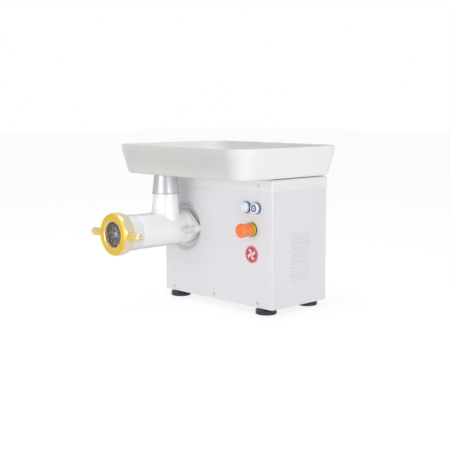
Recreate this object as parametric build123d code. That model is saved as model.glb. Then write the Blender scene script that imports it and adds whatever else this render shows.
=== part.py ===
from build123d import *
import math
import os

# Bench meat grinder with a size 22 head.
# Frame: +X to the right along the front, the head points along -Y, +Z up.
# Origin: on the bench, under the middle of the whole machine. Millimetres.

os.makedirs("parts", exist_ok=True)

# ---------------------------------------------------------------- driving sizes

body_w = 441.0          # casing, left to right
body_d = 218.0          # casing, front to back
body_h = 318.0          # casing, underside to the cover's lower edge
cover_h = 32.0          # top cover, lower edge to top
foot_h = 17.5           # feet, floor to casing

tray_w = 531.0          # tray rim, left to right
tray_d = 403.0          # tray rim, front to back
tray_h = 82.9           # tray, underside to rim
tray_gap = 2.5          # tray's underside above the cover
tray_back = 39.8        # tray's rim behind the casing
body_shift = 15.4       # casing's middle, right of the tray's middle

head_inset = 90.0       # head's axis from the casing's left side
head_drop = 122.0       # head's axis below the cover's lower edge
head_reach = 263.0      # ring's face in front of the casing
neck_ahead = 73.0       # neck's axis in front of the casing

barrel_r = 48.5         # barrel, outside
barrel_bore_r = 38.5    # barrel, inside
throat_r = 25.0         # feed throat through the neck
neck_r = 35.4           # neck, outside, at the height neck_gauge
neck_taper = 0.11       # loss of radius per millimetre of height
neck_low = 7.5          # neck's top below the tray's underside
plate_r = 41.0          # mincing plate
plate_t = 11.0
knife_t = 13.0
ring_r = 59.0           # ring nut, outside
ring_w = 35.0           # ring nut, front to back
ring_lip = 12.0         # ring nut's lip in front of the plate
ring_open_r = 35.5      # opening in the lip
ring_reach = 104.7      # tip of each peg from the axis

module = 4.0            # worm gear
wheel_teeth = 24
worm_starts = 2
worm_pitch_r = 20.0
backlash = 0.45
wheel_face = 26.0

motor_r = 66.0          # motor frame, outside
rotor_r = 36.0
air_gap = 0.5

sheet = 1.5             # casing sheet
base_t = 3.0            # base plate
tray_wall = 2.5

run_gap = 0.05          # radial gap of a running fit
slide_gap = 0.3         # gap beside a part that lifts off or slides freely
lap_gap = 0.5           # gap between the cover's skirt and the casing

# ---------------------------------------------------------------- places worked out

front_y = (head_reach - body_d - tray_back) / 2
back_y = front_y + body_d
left_x = body_shift - body_w / 2
right_x = body_shift + body_w / 2
base_z = foot_h
cover_z = base_z + body_h
cover_top = cover_z + cover_h
tray_z = cover_top + tray_gap
tray_mid_y = back_y + tray_back - tray_d / 2
head_x = left_x + head_inset
head_height = body_h - head_drop
head_z = base_z + head_height
neck_top = body_h + cover_h + tray_gap - neck_low
neck_gauge = neck_top - 60.0
neck_y = front_y - neck_ahead
ring_y = front_y - head_reach
plate_y = ring_y + ring_lip
knife_y = plate_y + plate_t
gear_y = front_y + body_d / 2
wheel_pitch_r = module * wheel_teeth / 2
worm_z = head_z - wheel_pitch_r - worm_pitch_r
floor_z = base_z + base_t

# ---------------------------------------------------------------- helpers


def save(name, shape):
    export_step(shape, "parts/" + name + ".step")


def block(x0, x1, y0, y1, z0, z1):
    return Pos((x0 + x1) / 2, (y0 + y1) / 2, (z0 + z1) / 2) * Box(x1 - x0, y1 - y0, z1 - z0)


def along_x(y, z):
    # Turns a piece built upright so that it points along +X through (y, z).
    return Pos(0, y, z) * Rot(0, 90, 0)


def along_y(x, z):
    # Turns a piece built upright so that it points along +Y through (x, z).
    return Pos(x, 0, z) * Rot(-90, 0, 0)


def post(r, z0, z1):
    return Pos(0, 0, (z0 + z1) / 2) * Cylinder(r, z1 - z0)


def turned(*points):
    # Solid of revolution about Z from (radius, height) points.
    return revolve(Plane.XZ * Polygon(*points, align=None), Axis.Z)


def tube(r_out, r_in, z0, z1):
    return post(r_out, z0, z1) - post(r_in, z0, z1)


def hex_bar(flats, z0, z1):
    return Pos(0, 0, z0) * extrude(RegularPolygon(flats / 2, 6, major_radius=False), z1 - z0)


def on_circle(piece, count, radius, start=0.0):
    # Copies of an upright piece round the Z axis.
    turn = 360.0 / count
    return [Rot(0, 0, start + i * turn) * Pos(radius, 0, 0) * piece for i in range(count)]


def joined(pieces):
    whole = pieces[0]
    for piece in pieces[1:]:
        whole = whole + piece
    return whole


def placed_list(pieces, place):
    return [place * piece for piece in pieces]


def placed(pieces, place):
    return joined(placed_list(pieces, place))


def pan_head_screw(thread_r, head_r, head_h, length):
    # Head from height 0 up, thread downwards.
    head = fillet(post(head_r, 0, head_h).edges().group_by(Axis.Z)[-1], head_h * 0.55)
    return head + post(thread_r, -length, 0)


def hex_screw(thread_r, flats, head_h, length):
    return hex_bar(flats, 0, head_h) + post(thread_r, -length, 0)


# ---------------------------------------------------------------- casing

screw_r = 2.0
screw_hole_r = 2.15
screw_head_r = 3.9
screw_head_h = 2.4
screw_len = 9.0
low_screw_z = base_z + 12.5
low_screw_x = [left_x + 40.0, body_shift - 7.0, right_x - 54.0]
fold_r = 2.5
lap = 22.0                       # casing's height inside the cover's skirt
flange_w = 16.0
base_flange_h = 22.0
cover_proud = 2.0
cover_corner_r = 5.0
cover_inner_r = 1.5
cover_screw_x = [left_x + 49.0, right_x - 49.0]
cover_screw_z = cover_z + 15.0
rear_screw_z = [base_z + 60.0, base_z + body_h / 2, base_z + body_h - 40.0]
rear_screw_x = [left_x + sheet + flange_w / 2, right_x - sheet - flange_w / 2]

louvre_count = 8
louvre_len = 84.0
louvre_pitch = 17.3
louvre_h = 8.4
louvre_out = 2.8
louvre_slit = 1.6
louvre_low = 75.5
louvre_mid_y = front_y + body_d / 2

foot_r = 29.5
foot_side_h = 12.5
foot_top_r = 22.0
foot_inset_x = 43.0
foot_inset_front = 22.0
foot_inset_back = 29.0
foot_places = [(x, y) for x in (left_x + foot_inset_x, right_x - foot_inset_x)
               for y in (front_y + foot_inset_front, back_y - foot_inset_back)]
foot_bolt_r = 3.0
foot_hole_r = 3.3
foot_sink_r = 9.0
foot_sink = 9.0
foot_head_r = 5.0
foot_head_h = 5.0
foot_nut_flats = 10.0
foot_nut_h = 5.0

dish_r = 74.0                    # socket's rim, outside
dish_proud = 4.0                 # rim in front of the casing
dish_wall_r = 71.5               # socket's wall where it passes the casing
dish_hole_r = dish_wall_r + lap_gap
dish_lip = 3.5
dish_floor = 8.0                 # socket's floor behind the casing's face
dish_floor_t = 14.0
dish_floor_r = 64.0

button_x = [right_x - 95.5, right_x - 58.0]
button_z = cover_z - 46.0
stop_x = right_x - 76.5
stop_z = cover_z - 105.6
badge_x = right_x - 77.0
badge_z = cover_z - 174.0
switch_hole_r = 11.2             # 22 mm switchgear

gland_x = right_x - 42.0
gland_z = base_z + 46.0
gland_thread_r = 10.0
gland_hole_r = 10.25
gland_bore_r = 5.0


def louvre_pad(length, height, depth):
    # Round-ended pad standing on the YZ plane, pointing along +X.
    return extrude(Plane.YZ * SlotOverall(length, height), depth)


def louvre_places():
    return [base_z + louvre_low + i * louvre_pitch for i in range(louvre_count)]


def louvred(shell, face_x, out):
    # Presses hooded slots into a side wall: out is +1 on the right, -1 on the left.
    mirror_x = Plane.YZ
    for z in louvre_places():
        hood = louvre_pad(louvre_len, louvre_h, louvre_out)
        hood = fillet(hood.edges().group_by(Axis.X)[-1], louvre_out * 0.7)
        inner = louvre_pad(louvre_len - 2 * sheet, louvre_h - sheet, louvre_out - sheet / 2)
        inner = Pos(-sheet, 0, -sheet / 2) * (inner + Pos(sheet, 0, 0) * inner)
        slit = Pos(louvre_out / 2, 0, -louvre_h / 2) * Box(2 * louvre_out, louvre_len - louvre_h, louvre_slit)
        slit = slit - block(-2 * louvre_out, 0, -louvre_len, louvre_len, -louvre_h, louvre_h)
        if out < 0:
            hood = mirror(hood, mirror_x)
            inner = mirror(inner, mirror_x)
            slit = mirror(slit, mirror_x)
        place = Pos(face_x, louvre_mid_y, z)
        shell = shell + place * hood - place * inner - place * slit
    return shell


def body_shell():
    # Front and both sides in one folded sheet, with a return flange at each back edge.
    top = cover_z + lap
    back = back_y - sheet
    outer = block(left_x, right_x, front_y, back, base_z, top)
    outer = fillet(outer.edges().filter_by(Axis.Z).group_by(Axis.Y)[0], fold_r)
    inner = block(left_x + sheet, right_x - sheet, front_y + sheet, back + sheet, base_z, top)
    inner = fillet(inner.edges().filter_by(Axis.Z).group_by(Axis.Y)[0], fold_r - sheet)
    shell = outer - inner
    for x0 in (left_x + sheet, right_x - sheet - flange_w):
        shell = shell + block(x0, x0 + flange_w, back - sheet, back, floor_z, top)
    shell = louvred(shell, right_x, 1)
    shell = louvred(shell, left_x, -1)
    cutter = front_y + sheet / 2
    shell = shell - along_y(head_x, head_z) * post(dish_hole_r, cutter - sheet, cutter + sheet)
    for x, z in [(button_x[0], button_z), (button_x[1], button_z), (stop_x, stop_z)]:
        shell = shell - along_y(x, z) * post(switch_hole_r, cutter - sheet, cutter + sheet)
    front_holes = [(x, low_screw_z) for x in low_screw_x] + [(x, cover_screw_z) for x in cover_screw_x]
    for x, z in front_holes:
        shell = shell - along_y(x, z) * post(screw_hole_r, cutter - sheet, cutter + sheet)
    for x in rear_screw_x:
        for z in rear_screw_z:
            shell = shell - along_y(x, z) * post(screw_hole_r, back - 2 * sheet, back + sheet)
    return shell


def base_plate():
    # Floor of the casing with a turned-up flange on all four sides.
    x0, x1 = left_x + sheet, right_x - sheet
    y0, y1 = front_y + sheet, back_y - sheet
    top = base_z + base_flange_h
    plate = block(x0, x1, y0, y1, base_z, top)
    plate = fillet(plate.edges().filter_by(Axis.Z).group_by(Axis.Y)[0], fold_r - sheet)
    plate = plate - block(x0 + sheet, x1 - sheet, y0 + sheet, y1 - sheet, floor_z, top)
    for x0 in (left_x + sheet, right_x - sheet - flange_w):
        plate = plate - block(x0, x0 + flange_w, back_y - 2 * sheet, back_y - sheet, floor_z, top)
    for x, y in foot_places:
        plate = plate - Pos(x, y, 0) * post(foot_hole_r, base_z, floor_z)
    for x in low_screw_x:
        plate = plate - along_y(x, low_screw_z) * post(screw_hole_r, front_y, front_y + 3 * sheet)
        plate = plate - along_y(x, low_screw_z) * post(screw_hole_r, back_y - 4 * sheet, back_y)
    for place in cradle_bolts() + gearbox_bolts():
        plate = plate - place * post(mount_hole_r, base_z, floor_z)
    return plate


def rear_panel():
    panel = block(left_x, right_x, back_y - sheet, back_y, base_z, cover_z + lap)
    holes = [(x, z) for x in rear_screw_x for z in rear_screw_z]
    holes = holes + [(x, low_screw_z) for x in low_screw_x]
    holes = holes + [(x, cover_screw_z) for x in cover_screw_x]
    for x, z in holes:
        panel = panel - along_y(x, z) * post(screw_hole_r, back_y - 2 * sheet, back_y + sheet)
    return panel - along_y(gland_x, gland_z) * post(gland_hole_r, back_y - 2 * sheet, back_y + sheet)


def top_cover():
    # Pressed lid whose skirt hangs over the casing on all four sides.
    proud = cover_proud
    outer = block(left_x - proud, right_x + proud, front_y - proud, back_y + proud, cover_z, cover_top)
    outer = fillet(outer.edges().filter_by(Axis.Z), cover_corner_r)
    outer = fillet(outer.edges().group_by(Axis.Z)[-1], cover_corner_r - 0.5)
    wall = proud - lap_gap
    inner = block(left_x - lap_gap, right_x + lap_gap, front_y - lap_gap, back_y + lap_gap,
                  cover_z, cover_top - wall)
    inner = fillet(inner.edges().filter_by(Axis.Z), cover_inner_r)
    inner = fillet(inner.edges().group_by(Axis.Z)[-1], cover_inner_r)
    cover = outer - inner
    for x in cover_screw_x:
        hole = along_y(x, cover_screw_z) * post(screw_hole_r, front_y - 2 * proud, back_y + 2 * proud)
        cover = cover - hole
    return cover


def casing_screws():
    # Pan-head screws of the casing's low edge, the cover's skirt and the rear panel.
    screw = pan_head_screw(screw_r, screw_head_r, screw_head_h, screw_len)
    front = [Pos(x, front_y, low_screw_z) for x in low_screw_x]
    front = front + [Pos(x, front_y - cover_proud, cover_screw_z) for x in cover_screw_x]
    back = [Pos(x, back_y, low_screw_z) for x in low_screw_x]
    back = back + [Pos(x, back_y + cover_proud, cover_screw_z) for x in cover_screw_x]
    back = back + [Pos(x, back_y, z) for x in rear_screw_x for z in rear_screw_z]
    screws = [place * Rot(90, 0, 0) * screw for place in front]
    screws = screws + [place * Rot(-90, 0, 0) * screw for place in back]
    return joined(screws)


def rubber_feet():
    foot = turned((foot_hole_r, foot_sink), (foot_sink_r, foot_sink), (foot_sink_r, 0), (foot_r, 0),
                  (foot_r, foot_side_h), (foot_top_r, foot_h), (foot_hole_r, foot_h))
    return joined([Pos(x, y, 0) * foot for x, y in foot_places])


def foot_screws():
    # Cheese-head screw up through the foot, with a nut on the base plate.
    nut_top = floor_z + foot_nut_h
    screw = post(foot_head_r, foot_sink - foot_head_h, foot_sink) + post(foot_bolt_r, foot_sink, nut_top + 2)
    screw = screw + hex_bar(foot_nut_flats, floor_z, nut_top)
    return joined([Pos(x, y, 0) * screw for x, y in foot_places])


# ---------------------------------------------------------------- gearbox and its shafts

front_seat_r = 36.0              # 6207 bearing, 72 x 35 x 17
front_seat_in_r = 17.5
front_seat_w = 17.0
rear_seat_r = 31.0               # 6206 bearing, 62 x 30 x 16
rear_seat_in_r = 15.0
rear_seat_w = 16.0
worm_seat_r = 26.0               # 6205 bearing, 52 x 25 x 15
worm_seat_in_r = 12.5
worm_seat_w = 15.0
fan_seat_r = 23.5                # 6204 bearing, 47 x 20 x 14
fan_seat_in_r = 10.0
fan_seat_w = 14.0
race_t = 0.28                    # race's thickness, as a share of the bearing's radial height

box_wall = 8.0
wheel_tip_r = wheel_pitch_r + module
wheel_root_r = wheel_pitch_r - 1.25 * module
worm_tip_r = worm_pitch_r + module
worm_root_r = worm_pitch_r - 1.2 * module
worm_lead = math.pi * module * worm_starts
chamber_r = wheel_tip_r + 4.0
worm_tube_r = worm_seat_r + 10.0
chamber_half = worm_tube_r + 1.0
worm_half = 35.0                 # half of the threaded length
worm_bearing_x = 42.0            # inner face of each worm bearing from the wheel's axis
worm_tube_end = worm_bearing_x + worm_seat_w + 8.0

flange_y0 = front_y + dish_floor + dish_floor_t
flange_t = 12.0
flange_r = 62.0
snout_r = 46.0
seal_w = 10.0
front_bearing_y = flange_y0 + flange_t + 2.0
chamber_y0 = gear_y - chamber_half
chamber_y1 = gear_y + chamber_half
cover_t = 10.0
rear_bearing_y = chamber_y1 + 3.0
wheel_bore_r = 19.0
wheel_hub_w = 32.0
mount_hole_r = 4.3
mount_bolt_r = 4.0
mount_flats = 13.0
mount_head_h = 5.3
cover_bolt_r = 3.0
cover_bolt_hole_r = 3.3
cover_bolt_deep = 12.0
leg_x = 34.0
leg_half = 6.0
leg_half_y = 26.0
foot_edge = 12.0
gearbox_foot_y = 38.0
gearbox_foot_x = 48.0
foot_plate_t = 10.0
socket_bolt_pcr = 54.0
socket_bolt_deep = 9.0
spigot_r = 30.0                  # head's spigot in the socket
key_w = 10.0
key_t = 8.0


def gearbox_bolts():
    # Places of the four bolts that hold the gearbox to the base plate.
    return [Pos(head_x + sx * gearbox_foot_x, gear_y + sy * gearbox_foot_y, 0)
            for sx in (-1, 1) for sy in (-1, 1)]


def gearbox_housing():
    # Wheel chamber, worm tube across below it, snout to the front, and two legs.
    wheel_axis = along_y(head_x, head_z)
    worm_axis = Pos(head_x, 0, 0) * along_x(gear_y, worm_z)
    body = wheel_axis * post(chamber_r + box_wall, chamber_y0 - box_wall, chamber_y1)
    body = body + wheel_axis * post(snout_r, flange_y0, chamber_y0)
    body = body + wheel_axis * post(flange_r, flange_y0, flange_y0 + flange_t)
    body = body + worm_axis * post(worm_tube_r, -worm_tube_end, worm_tube_end)
    foot_half_x = gearbox_foot_x + foot_edge
    foot_half_y = gearbox_foot_y + foot_edge
    for side in (-1, 1):
        x = head_x + side * leg_x
        body = body + block(x - leg_half, x + leg_half, gear_y - leg_half_y, gear_y + leg_half_y,
                            floor_z, worm_z)
    body = body + block(head_x - foot_half_x, head_x + foot_half_x,
                        gear_y - foot_half_y, gear_y + foot_half_y, floor_z, floor_z + foot_plate_t)
    body = body - wheel_axis * post(chamber_r, chamber_y0, chamber_y1)
    body = body - wheel_axis * post(front_seat_r - 5, front_bearing_y, chamber_y0)
    body = body - wheel_axis * post(front_seat_r, flange_y0, front_bearing_y + front_seat_w)
    body = body - worm_axis * post(worm_seat_r, -worm_tube_end, worm_tube_end)
    for place in gearbox_bolts():
        body = body - place * post(mount_hole_r, floor_z, floor_z + foot_plate_t)
    bolt_hole = post(mount_hole_r, flange_y0, flange_y0 + flange_t)
    body = body - joined(placed_list(on_circle(bolt_hole, 4, socket_bolt_pcr, 45), wheel_axis))
    cover_hole = post(cover_bolt_r, chamber_y1 - cover_bolt_deep - 2, chamber_y1)
    return body - joined(placed_list(on_circle(cover_hole, 6, chamber_r + box_wall / 2), wheel_axis))


def gearbox_cover():
    place = along_y(head_x, head_z)
    end = rear_bearing_y + rear_seat_w
    cover = post(chamber_r + box_wall, chamber_y1, chamber_y1 + cover_t)
    cover = cover + post(rear_seat_r + 8, chamber_y1, end + 7)
    cover = cover - post(rear_seat_r, chamber_y1, end)
    hole = post(cover_bolt_hole_r, chamber_y1, chamber_y1 + cover_t)
    cover = cover - joined(on_circle(hole, 6, chamber_r + box_wall / 2))
    return place * cover


def gearbox_cover_bolts():
    bolt = Pos(0, 0, chamber_y1 + cover_t) * hex_screw(cover_bolt_r, 10.0, 4.0, cover_t + cover_bolt_deep)
    bolts = on_circle(bolt, 6, chamber_r + box_wall / 2)
    return placed(bolts, along_y(head_x, head_z))


def mount_screw(length):
    return hex_screw(mount_bolt_r, mount_flats, mount_head_h, length)


def frame_bolts():
    # M8 hexagon bolts: gearbox and motor cradle to the base plate, gearbox to the head socket.
    gearbox_top = floor_z + foot_plate_t
    cradle_top = floor_z + cradle_foot_t
    flange_back_y = flange_y0 + flange_t
    gearbox_bolt = Pos(0, 0, gearbox_top) * mount_screw(foot_plate_t + base_t)
    cradle_bolt = Pos(0, 0, cradle_top) * mount_screw(cradle_foot_t + base_t)
    socket_bolt = Pos(0, 0, flange_back_y) * mount_screw(flange_t + socket_bolt_deep)
    bolts = [place * gearbox_bolt for place in gearbox_bolts()]
    bolts = bolts + [place * cradle_bolt for place in cradle_bolts()]
    for bolt in on_circle(socket_bolt, 4, socket_bolt_pcr, 45):
        bolts.append(along_y(head_x, head_z) * bolt)
    return joined(bolts)


def head_socket():
    # Dish let into the casing's front, with the bore that takes the head's spigot.
    place = along_y(head_x, head_z)
    lip_y = front_y - dish_proud
    floor_y = front_y + dish_floor
    dish = turned((spigot_r + run_gap, floor_y), (dish_floor_r - 4, floor_y), (dish_floor_r, floor_y - 4),
                  (dish_r - dish_lip, lip_y + 0.8), (dish_r - dish_lip + 0.8, lip_y), (dish_r - 1, lip_y),
                  (dish_r, lip_y + 1), (dish_r, front_y), (dish_wall_r, front_y),
                  (dish_wall_r, flange_y0), (spigot_r + run_gap, flange_y0))
    hole = post(mount_bolt_r + 0.1, flange_y0 - socket_bolt_deep - 2, flange_y0)
    dish = dish - joined(on_circle(hole, 4, socket_bolt_pcr, 45))
    drain = Rot(0, 0, -57) * Pos(40, 0, 0) * post(1.8, floor_y - 5, floor_y + 6)
    dish = place * (dish - drain)
    for side in (-1, 1):
        dish = dish + along_y(head_x + side * stud_x, head_z) * post(stud_boss_r, lip_y, floor_y + 1)
        dish = dish - along_y(head_x + side * stud_x, head_z) * post(stud_r + 0.1, lip_y, flange_y0)
    return dish


def shaft_seal():
    seal = tube(front_seat_r, front_seat_in_r + run_gap, flange_y0, flange_y0 + seal_w)
    return along_y(head_x, head_z) * seal


def ball_ring(r_out, r_in, y0, width, count):
    # Outer ring, inner ring and balls of one bearing, upright.
    gap = r_out - r_in
    race = gap * race_t
    mid = y0 + width / 2
    ball_r = gap * 0.30
    mean = (r_out + r_in) / 2
    groove = revolve(Plane.XZ * Pos(mean, mid) * Circle(ball_r + run_gap), Axis.Z)
    outer = tube(r_out, r_out - race, y0, y0 + width) - groove
    inner = tube(r_in + race, r_in, y0, y0 + width) - groove
    balls = on_circle(Pos(0, 0, mid) * Sphere(ball_r), count, mean)
    return outer, inner, joined(balls)


front_bearing = ball_ring(front_seat_r, front_seat_in_r, front_bearing_y, front_seat_w, 9)
rear_bearing = ball_ring(rear_seat_r, rear_seat_in_r, rear_bearing_y, rear_seat_w, 9)


def output_shaft():
    # Carries the wheel between the two bearings; a square socket in front takes the auger.
    wheel_y0 = gear_y - wheel_hub_w / 2
    wheel_y1 = gear_y + wheel_hub_w / 2
    nose = front_y + dish_floor + dish_floor_t - 4
    end = rear_bearing_y + rear_seat_w - 1
    shaft = turned((0, nose), (front_seat_in_r, nose), (front_seat_in_r, front_bearing_y + front_seat_w),
                   (front_seat_in_r + 4, front_bearing_y + front_seat_w), (front_seat_in_r + 4, wheel_y0),
                   (wheel_bore_r, wheel_y0), (wheel_bore_r, wheel_y1), (rear_seat_in_r + 3, wheel_y1),
                   (rear_seat_in_r + 3, rear_bearing_y), (rear_seat_in_r, rear_bearing_y),
                   (rear_seat_in_r, end), (0, end))
    shaft = shaft - Pos(0, 0, nose + socket_depth / 2) * Box(2 * socket_half, 2 * socket_half, socket_depth)
    key_seat = Pos(0, wheel_bore_r, gear_y) * Box(key_w, key_t, wheel_hub_w - 6)
    return along_y(head_x, head_z) * (shaft - key_seat)


def wheel_key():
    key = Pos(0, wheel_bore_r, gear_y) * Box(key_w, key_t, wheel_hub_w - 6)
    return along_y(head_x, head_z) * key


def involute(angle):
    return math.tan(angle) - angle


def wheel_outline():
    # Involute teeth: half-angle of a tooth at several radii, then round all teeth.
    press = math.radians(20.0)
    base_r = wheel_pitch_r * math.cos(press)
    half_pitch = math.pi / (2 * wheel_teeth) - backlash / (2 * wheel_pitch_r)
    steps = 4
    flank = []
    for i in range(steps + 1):
        r = base_r + (wheel_tip_r - base_r) * i / steps
        turn = half_pitch + involute(press) - involute(math.acos(min(1.0, base_r / r)))
        flank.append((r, turn))
    flank.insert(0, (wheel_root_r, flank[0][1]))
    points = []
    for tooth in range(wheel_teeth):
        middle = 2 * math.pi * tooth / wheel_teeth
        for r, turn in flank:
            points.append((r * math.cos(middle - turn), r * math.sin(middle - turn)))
        for r, turn in reversed(flank):
            points.append((r * math.cos(middle + turn), r * math.sin(middle + turn)))
    return points


def worm_wheel():
    # Teeth lean by the worm's lead angle across the face; hub with a keyed bore.
    lean = worm_lead / (2 * math.pi * worm_pitch_r)
    turn = math.degrees(lean * wheel_face / 2 / wheel_pitch_r)
    outline = Polygon(*wheel_outline(), align=None)
    front = Pos(0, 0, gear_y - wheel_face / 2) * Rot(0, 0, -turn) * outline
    back = Pos(0, 0, gear_y + wheel_face / 2) * Rot(0, 0, turn) * outline
    wheel = loft([front, back], ruled=True)
    wheel = wheel + post(30.0, gear_y - wheel_hub_w / 2, gear_y + wheel_hub_w / 2)
    wheel = wheel - post(wheel_bore_r, gear_y - wheel_hub_w, gear_y + wheel_hub_w)
    key_seat = Pos(0, wheel_bore_r, gear_y) * Box(key_w, key_t, wheel_hub_w + 2)
    return along_y(head_x, head_z) * (wheel - key_seat)


worm_phase = 8.0                 # turns the worm's threads into the wheel's gaps


def worm_threads():
    # Two trapezoid threads swept along a helix of the worm's lead, upright about Z.
    slope = math.tan(math.radians(20.0))
    sink = 1.0
    length = 2 * worm_half - worm_lead / 3

    def half(r):
        return math.pi * module / 4 - backlash / 2 - (r - worm_pitch_r) * slope

    path = Helix(worm_lead, length, worm_root_r)
    frame = Plane(origin=path @ 0, x_dir=(1, 0, 0), z_dir=path % 0)
    top = worm_tip_r - worm_root_r
    lean = math.cos(math.atan(worm_lead / (2 * math.pi * worm_pitch_r)))
    low, high = half(worm_root_r - sink) * lean, half(worm_tip_r) * lean
    section = frame * Polygon((-sink, -low), (top, -high), (top, high), (-sink, low), align=None)
    thread = Pos(0, 0, -length / 2) * sweep(section, path=path, is_frenet=True)
    return [Rot(0, 0, worm_phase + i * 360.0 / worm_starts) * thread for i in range(worm_starts)]


# ---------------------------------------------------------------- motor

core_inset = 64.1                # core's left end from the motor frame's
cowl_room = 30.9                 # left between the fan cowl and the casing
winding_len = 22.0
shield_t = 12.0
motor_x0 = head_x + worm_tube_end
frame_x0 = motor_x0 + shield_t
fan_gap = 8.0
fan_w = 18.0
fan_r = 52.0
fan_hub_r = 18.0
cowl_air = 14.0
frame_lip = 10.0
core_x0 = frame_x0 + core_inset
fan_end_len = winding_len + frame_lip + shield_t + fan_gap + fan_w + cowl_air
core_len = right_x - cowl_room - fan_end_len - core_x0
rotor_shaft_r = 14.0
frame_x1 = core_x0 + core_len + winding_len + frame_lip
frame_wall = 4.0
fan_shield_x1 = frame_x1 + shield_t
fan_bearing_x = frame_x1 - 4.0
fan_x0 = fan_shield_x1 + fan_gap
cowl_x1 = fan_x0 + fan_w + cowl_air
cowl_wall = 1.5
vent_r = 4.0
cradle_x = [frame_x0 + 30.0, frame_x1 - 30.0]
cradle_w = 24.0
cradle_y = 50.0
cradle_foot_t = 3.0
saddle_top = worm_z - 34.0       # saddles' top edge, under the motor's middle
saddle_t = 4.0
band_t = 3.0


def cradle_bolts():
    return [Pos(x, gear_y + side * cradle_y, 0) for x in cradle_x for side in (-1, 1)]


def motor_frame():
    return along_x(gear_y, worm_z) * tube(motor_r, motor_r - frame_wall, frame_x0, frame_x1)


def stator_core():
    core = tube(motor_r - frame_wall, rotor_r + air_gap, core_x0, core_x0 + core_len)
    return along_x(gear_y, worm_z) * core


def stator_windings():
    # End turns of the copper winding, one ring at each end of the core.
    inside = rotor_r + 6
    outside = motor_r - frame_wall - 5
    ring = turned((inside, 0), (outside, 0), (outside, winding_len - 6),
                  (outside - 6, winding_len), (inside, winding_len))
    right = Pos(0, 0, core_x0 + core_len) * ring
    left = Pos(0, 0, core_x0) * Rot(180, 0, 0) * ring
    return along_x(gear_y, worm_z) * (right + left)


def drive_end_shield():
    # Joins the motor's frame to the worm tube; the shaft passes through it.
    shield = post(motor_r, motor_x0, frame_x0)
    shield = shield + post(motor_r - frame_wall, frame_x0, frame_x0 + 4)
    shield = shield - post(motor_r - frame_wall - 8, frame_x0, frame_x0 + 4)
    shield = shield - post(rotor_shaft_r + 4, motor_x0, frame_x0)
    return along_x(gear_y, worm_z) * shield


def fan_end_shield():
    shield = post(motor_r, frame_x1, fan_shield_x1)
    shield = shield + post(fan_seat_r + 8, frame_x1 - 8, fan_shield_x1)
    shield = shield - post(fan_seat_r, fan_bearing_x, fan_bearing_x + fan_seat_w)
    shield = shield - post(rotor_shaft_r, frame_x1 - 10, fan_shield_x1)
    return along_x(gear_y, worm_z) * shield


def fan_cowl():
    # Cap over the fan with a ring of round air holes.
    cowl = post(motor_r + cowl_wall, frame_x1 + 2, cowl_x1)
    cowl = fillet(cowl.edges().group_by(Axis.Z)[-1], 8.0)
    cowl = cowl - post(motor_r, frame_x1 + 2, fan_shield_x1)
    cowl = cowl - post(motor_r - cowl_wall, fan_shield_x1, cowl_x1 - cowl_wall)
    for radius, count in ((18.0, 6), (32.0, 12), (46.0, 18)):
        cowl = cowl - joined(on_circle(post(vent_r, cowl_x1 - 4, cowl_x1), count, radius))
    return along_x(gear_y, worm_z) * cowl


def motor_cradle():
    # Two saddles between the motor's frame and the base plate.
    foot_half = cradle_y + foot_edge
    saddle_half = cradle_y - 9
    saddles = []
    for x in cradle_x:
        x0, x1 = x - cradle_w / 2, x + cradle_w / 2
        saddle = block(x - saddle_t / 2, x + saddle_t / 2, gear_y - saddle_half, gear_y + saddle_half,
                       floor_z, saddle_top)
        foot = block(x0, x1, gear_y - foot_half, gear_y + foot_half, floor_z, floor_z + cradle_foot_t)
        band = along_x(gear_y, worm_z) * tube(motor_r + band_t, motor_r, x0, x1)
        band = band - block(x0, x1, gear_y - 2 * motor_r, gear_y + 2 * motor_r,
                            saddle_top, worm_z + 2 * motor_r)
        saddles.append(saddle - along_x(gear_y, worm_z) * post(motor_r + 1, x0, x1) + foot + band)
    cradle = joined(saddles)
    for place in cradle_bolts():
        cradle = cradle - place * post(mount_hole_r, floor_z, floor_z + cradle_foot_t)
    return cradle


def rotor_shaft():
    # Motor shaft and worm in one piece.
    left = -worm_bearing_x - worm_seat_w
    right = worm_bearing_x
    core_left = core_x0 - head_x
    core_right = core_left + core_len
    seat_x = fan_bearing_x - head_x
    end = fan_x0 + fan_w + 4 - head_x
    shaft = turned((0, left), (worm_seat_in_r, left), (worm_seat_in_r, -right), (worm_root_r, -right),
                   (worm_root_r, right), (worm_seat_in_r, right), (worm_seat_in_r, right + worm_seat_w + 2),
                   (rotor_shaft_r, right + worm_seat_w + 2), (rotor_shaft_r, core_right + 4),
                   (rotor_shaft_r - 2, core_right + 4), (rotor_shaft_r - 2, seat_x), (fan_seat_in_r, seat_x),
                   (fan_seat_in_r, end), (0, end))
    for thread in worm_threads():
        shaft = shaft + thread
    return Pos(head_x, 0, 0) * along_x(gear_y, worm_z) * shaft


def rotor_core():
    end_ring = 6.0
    core = tube(rotor_r, rotor_shaft_r, core_x0, core_x0 + core_len)
    for end in (core_x0 - end_ring, core_x0 + core_len):
        core = core + tube(rotor_r - 2, rotor_r - 12, end, end + end_ring)
    return along_x(gear_y, worm_z) * core


def cooling_fan():
    fan = tube(fan_hub_r, fan_seat_in_r, fan_x0, fan_x0 + fan_w)
    fan = fan + tube(fan_r, fan_seat_in_r, fan_x0, fan_x0 + 2)
    root = fan_hub_r - 2
    blade = Pos((fan_r + root) / 2, 0, fan_x0 + fan_w / 2) * Box(fan_r - root, 2, fan_w)
    fan = fan + joined(on_circle(blade, 9, 0))
    return along_x(gear_y, worm_z) * fan


worm_left = ball_ring(worm_seat_r, worm_seat_in_r, -worm_bearing_x - worm_seat_w, worm_seat_w, 9)
worm_right = ball_ring(worm_seat_r, worm_seat_in_r, worm_bearing_x, worm_seat_w, 9)
fan_end = ball_ring(fan_seat_r, fan_seat_in_r, fan_bearing_x - head_x, fan_seat_w, 8)


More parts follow.
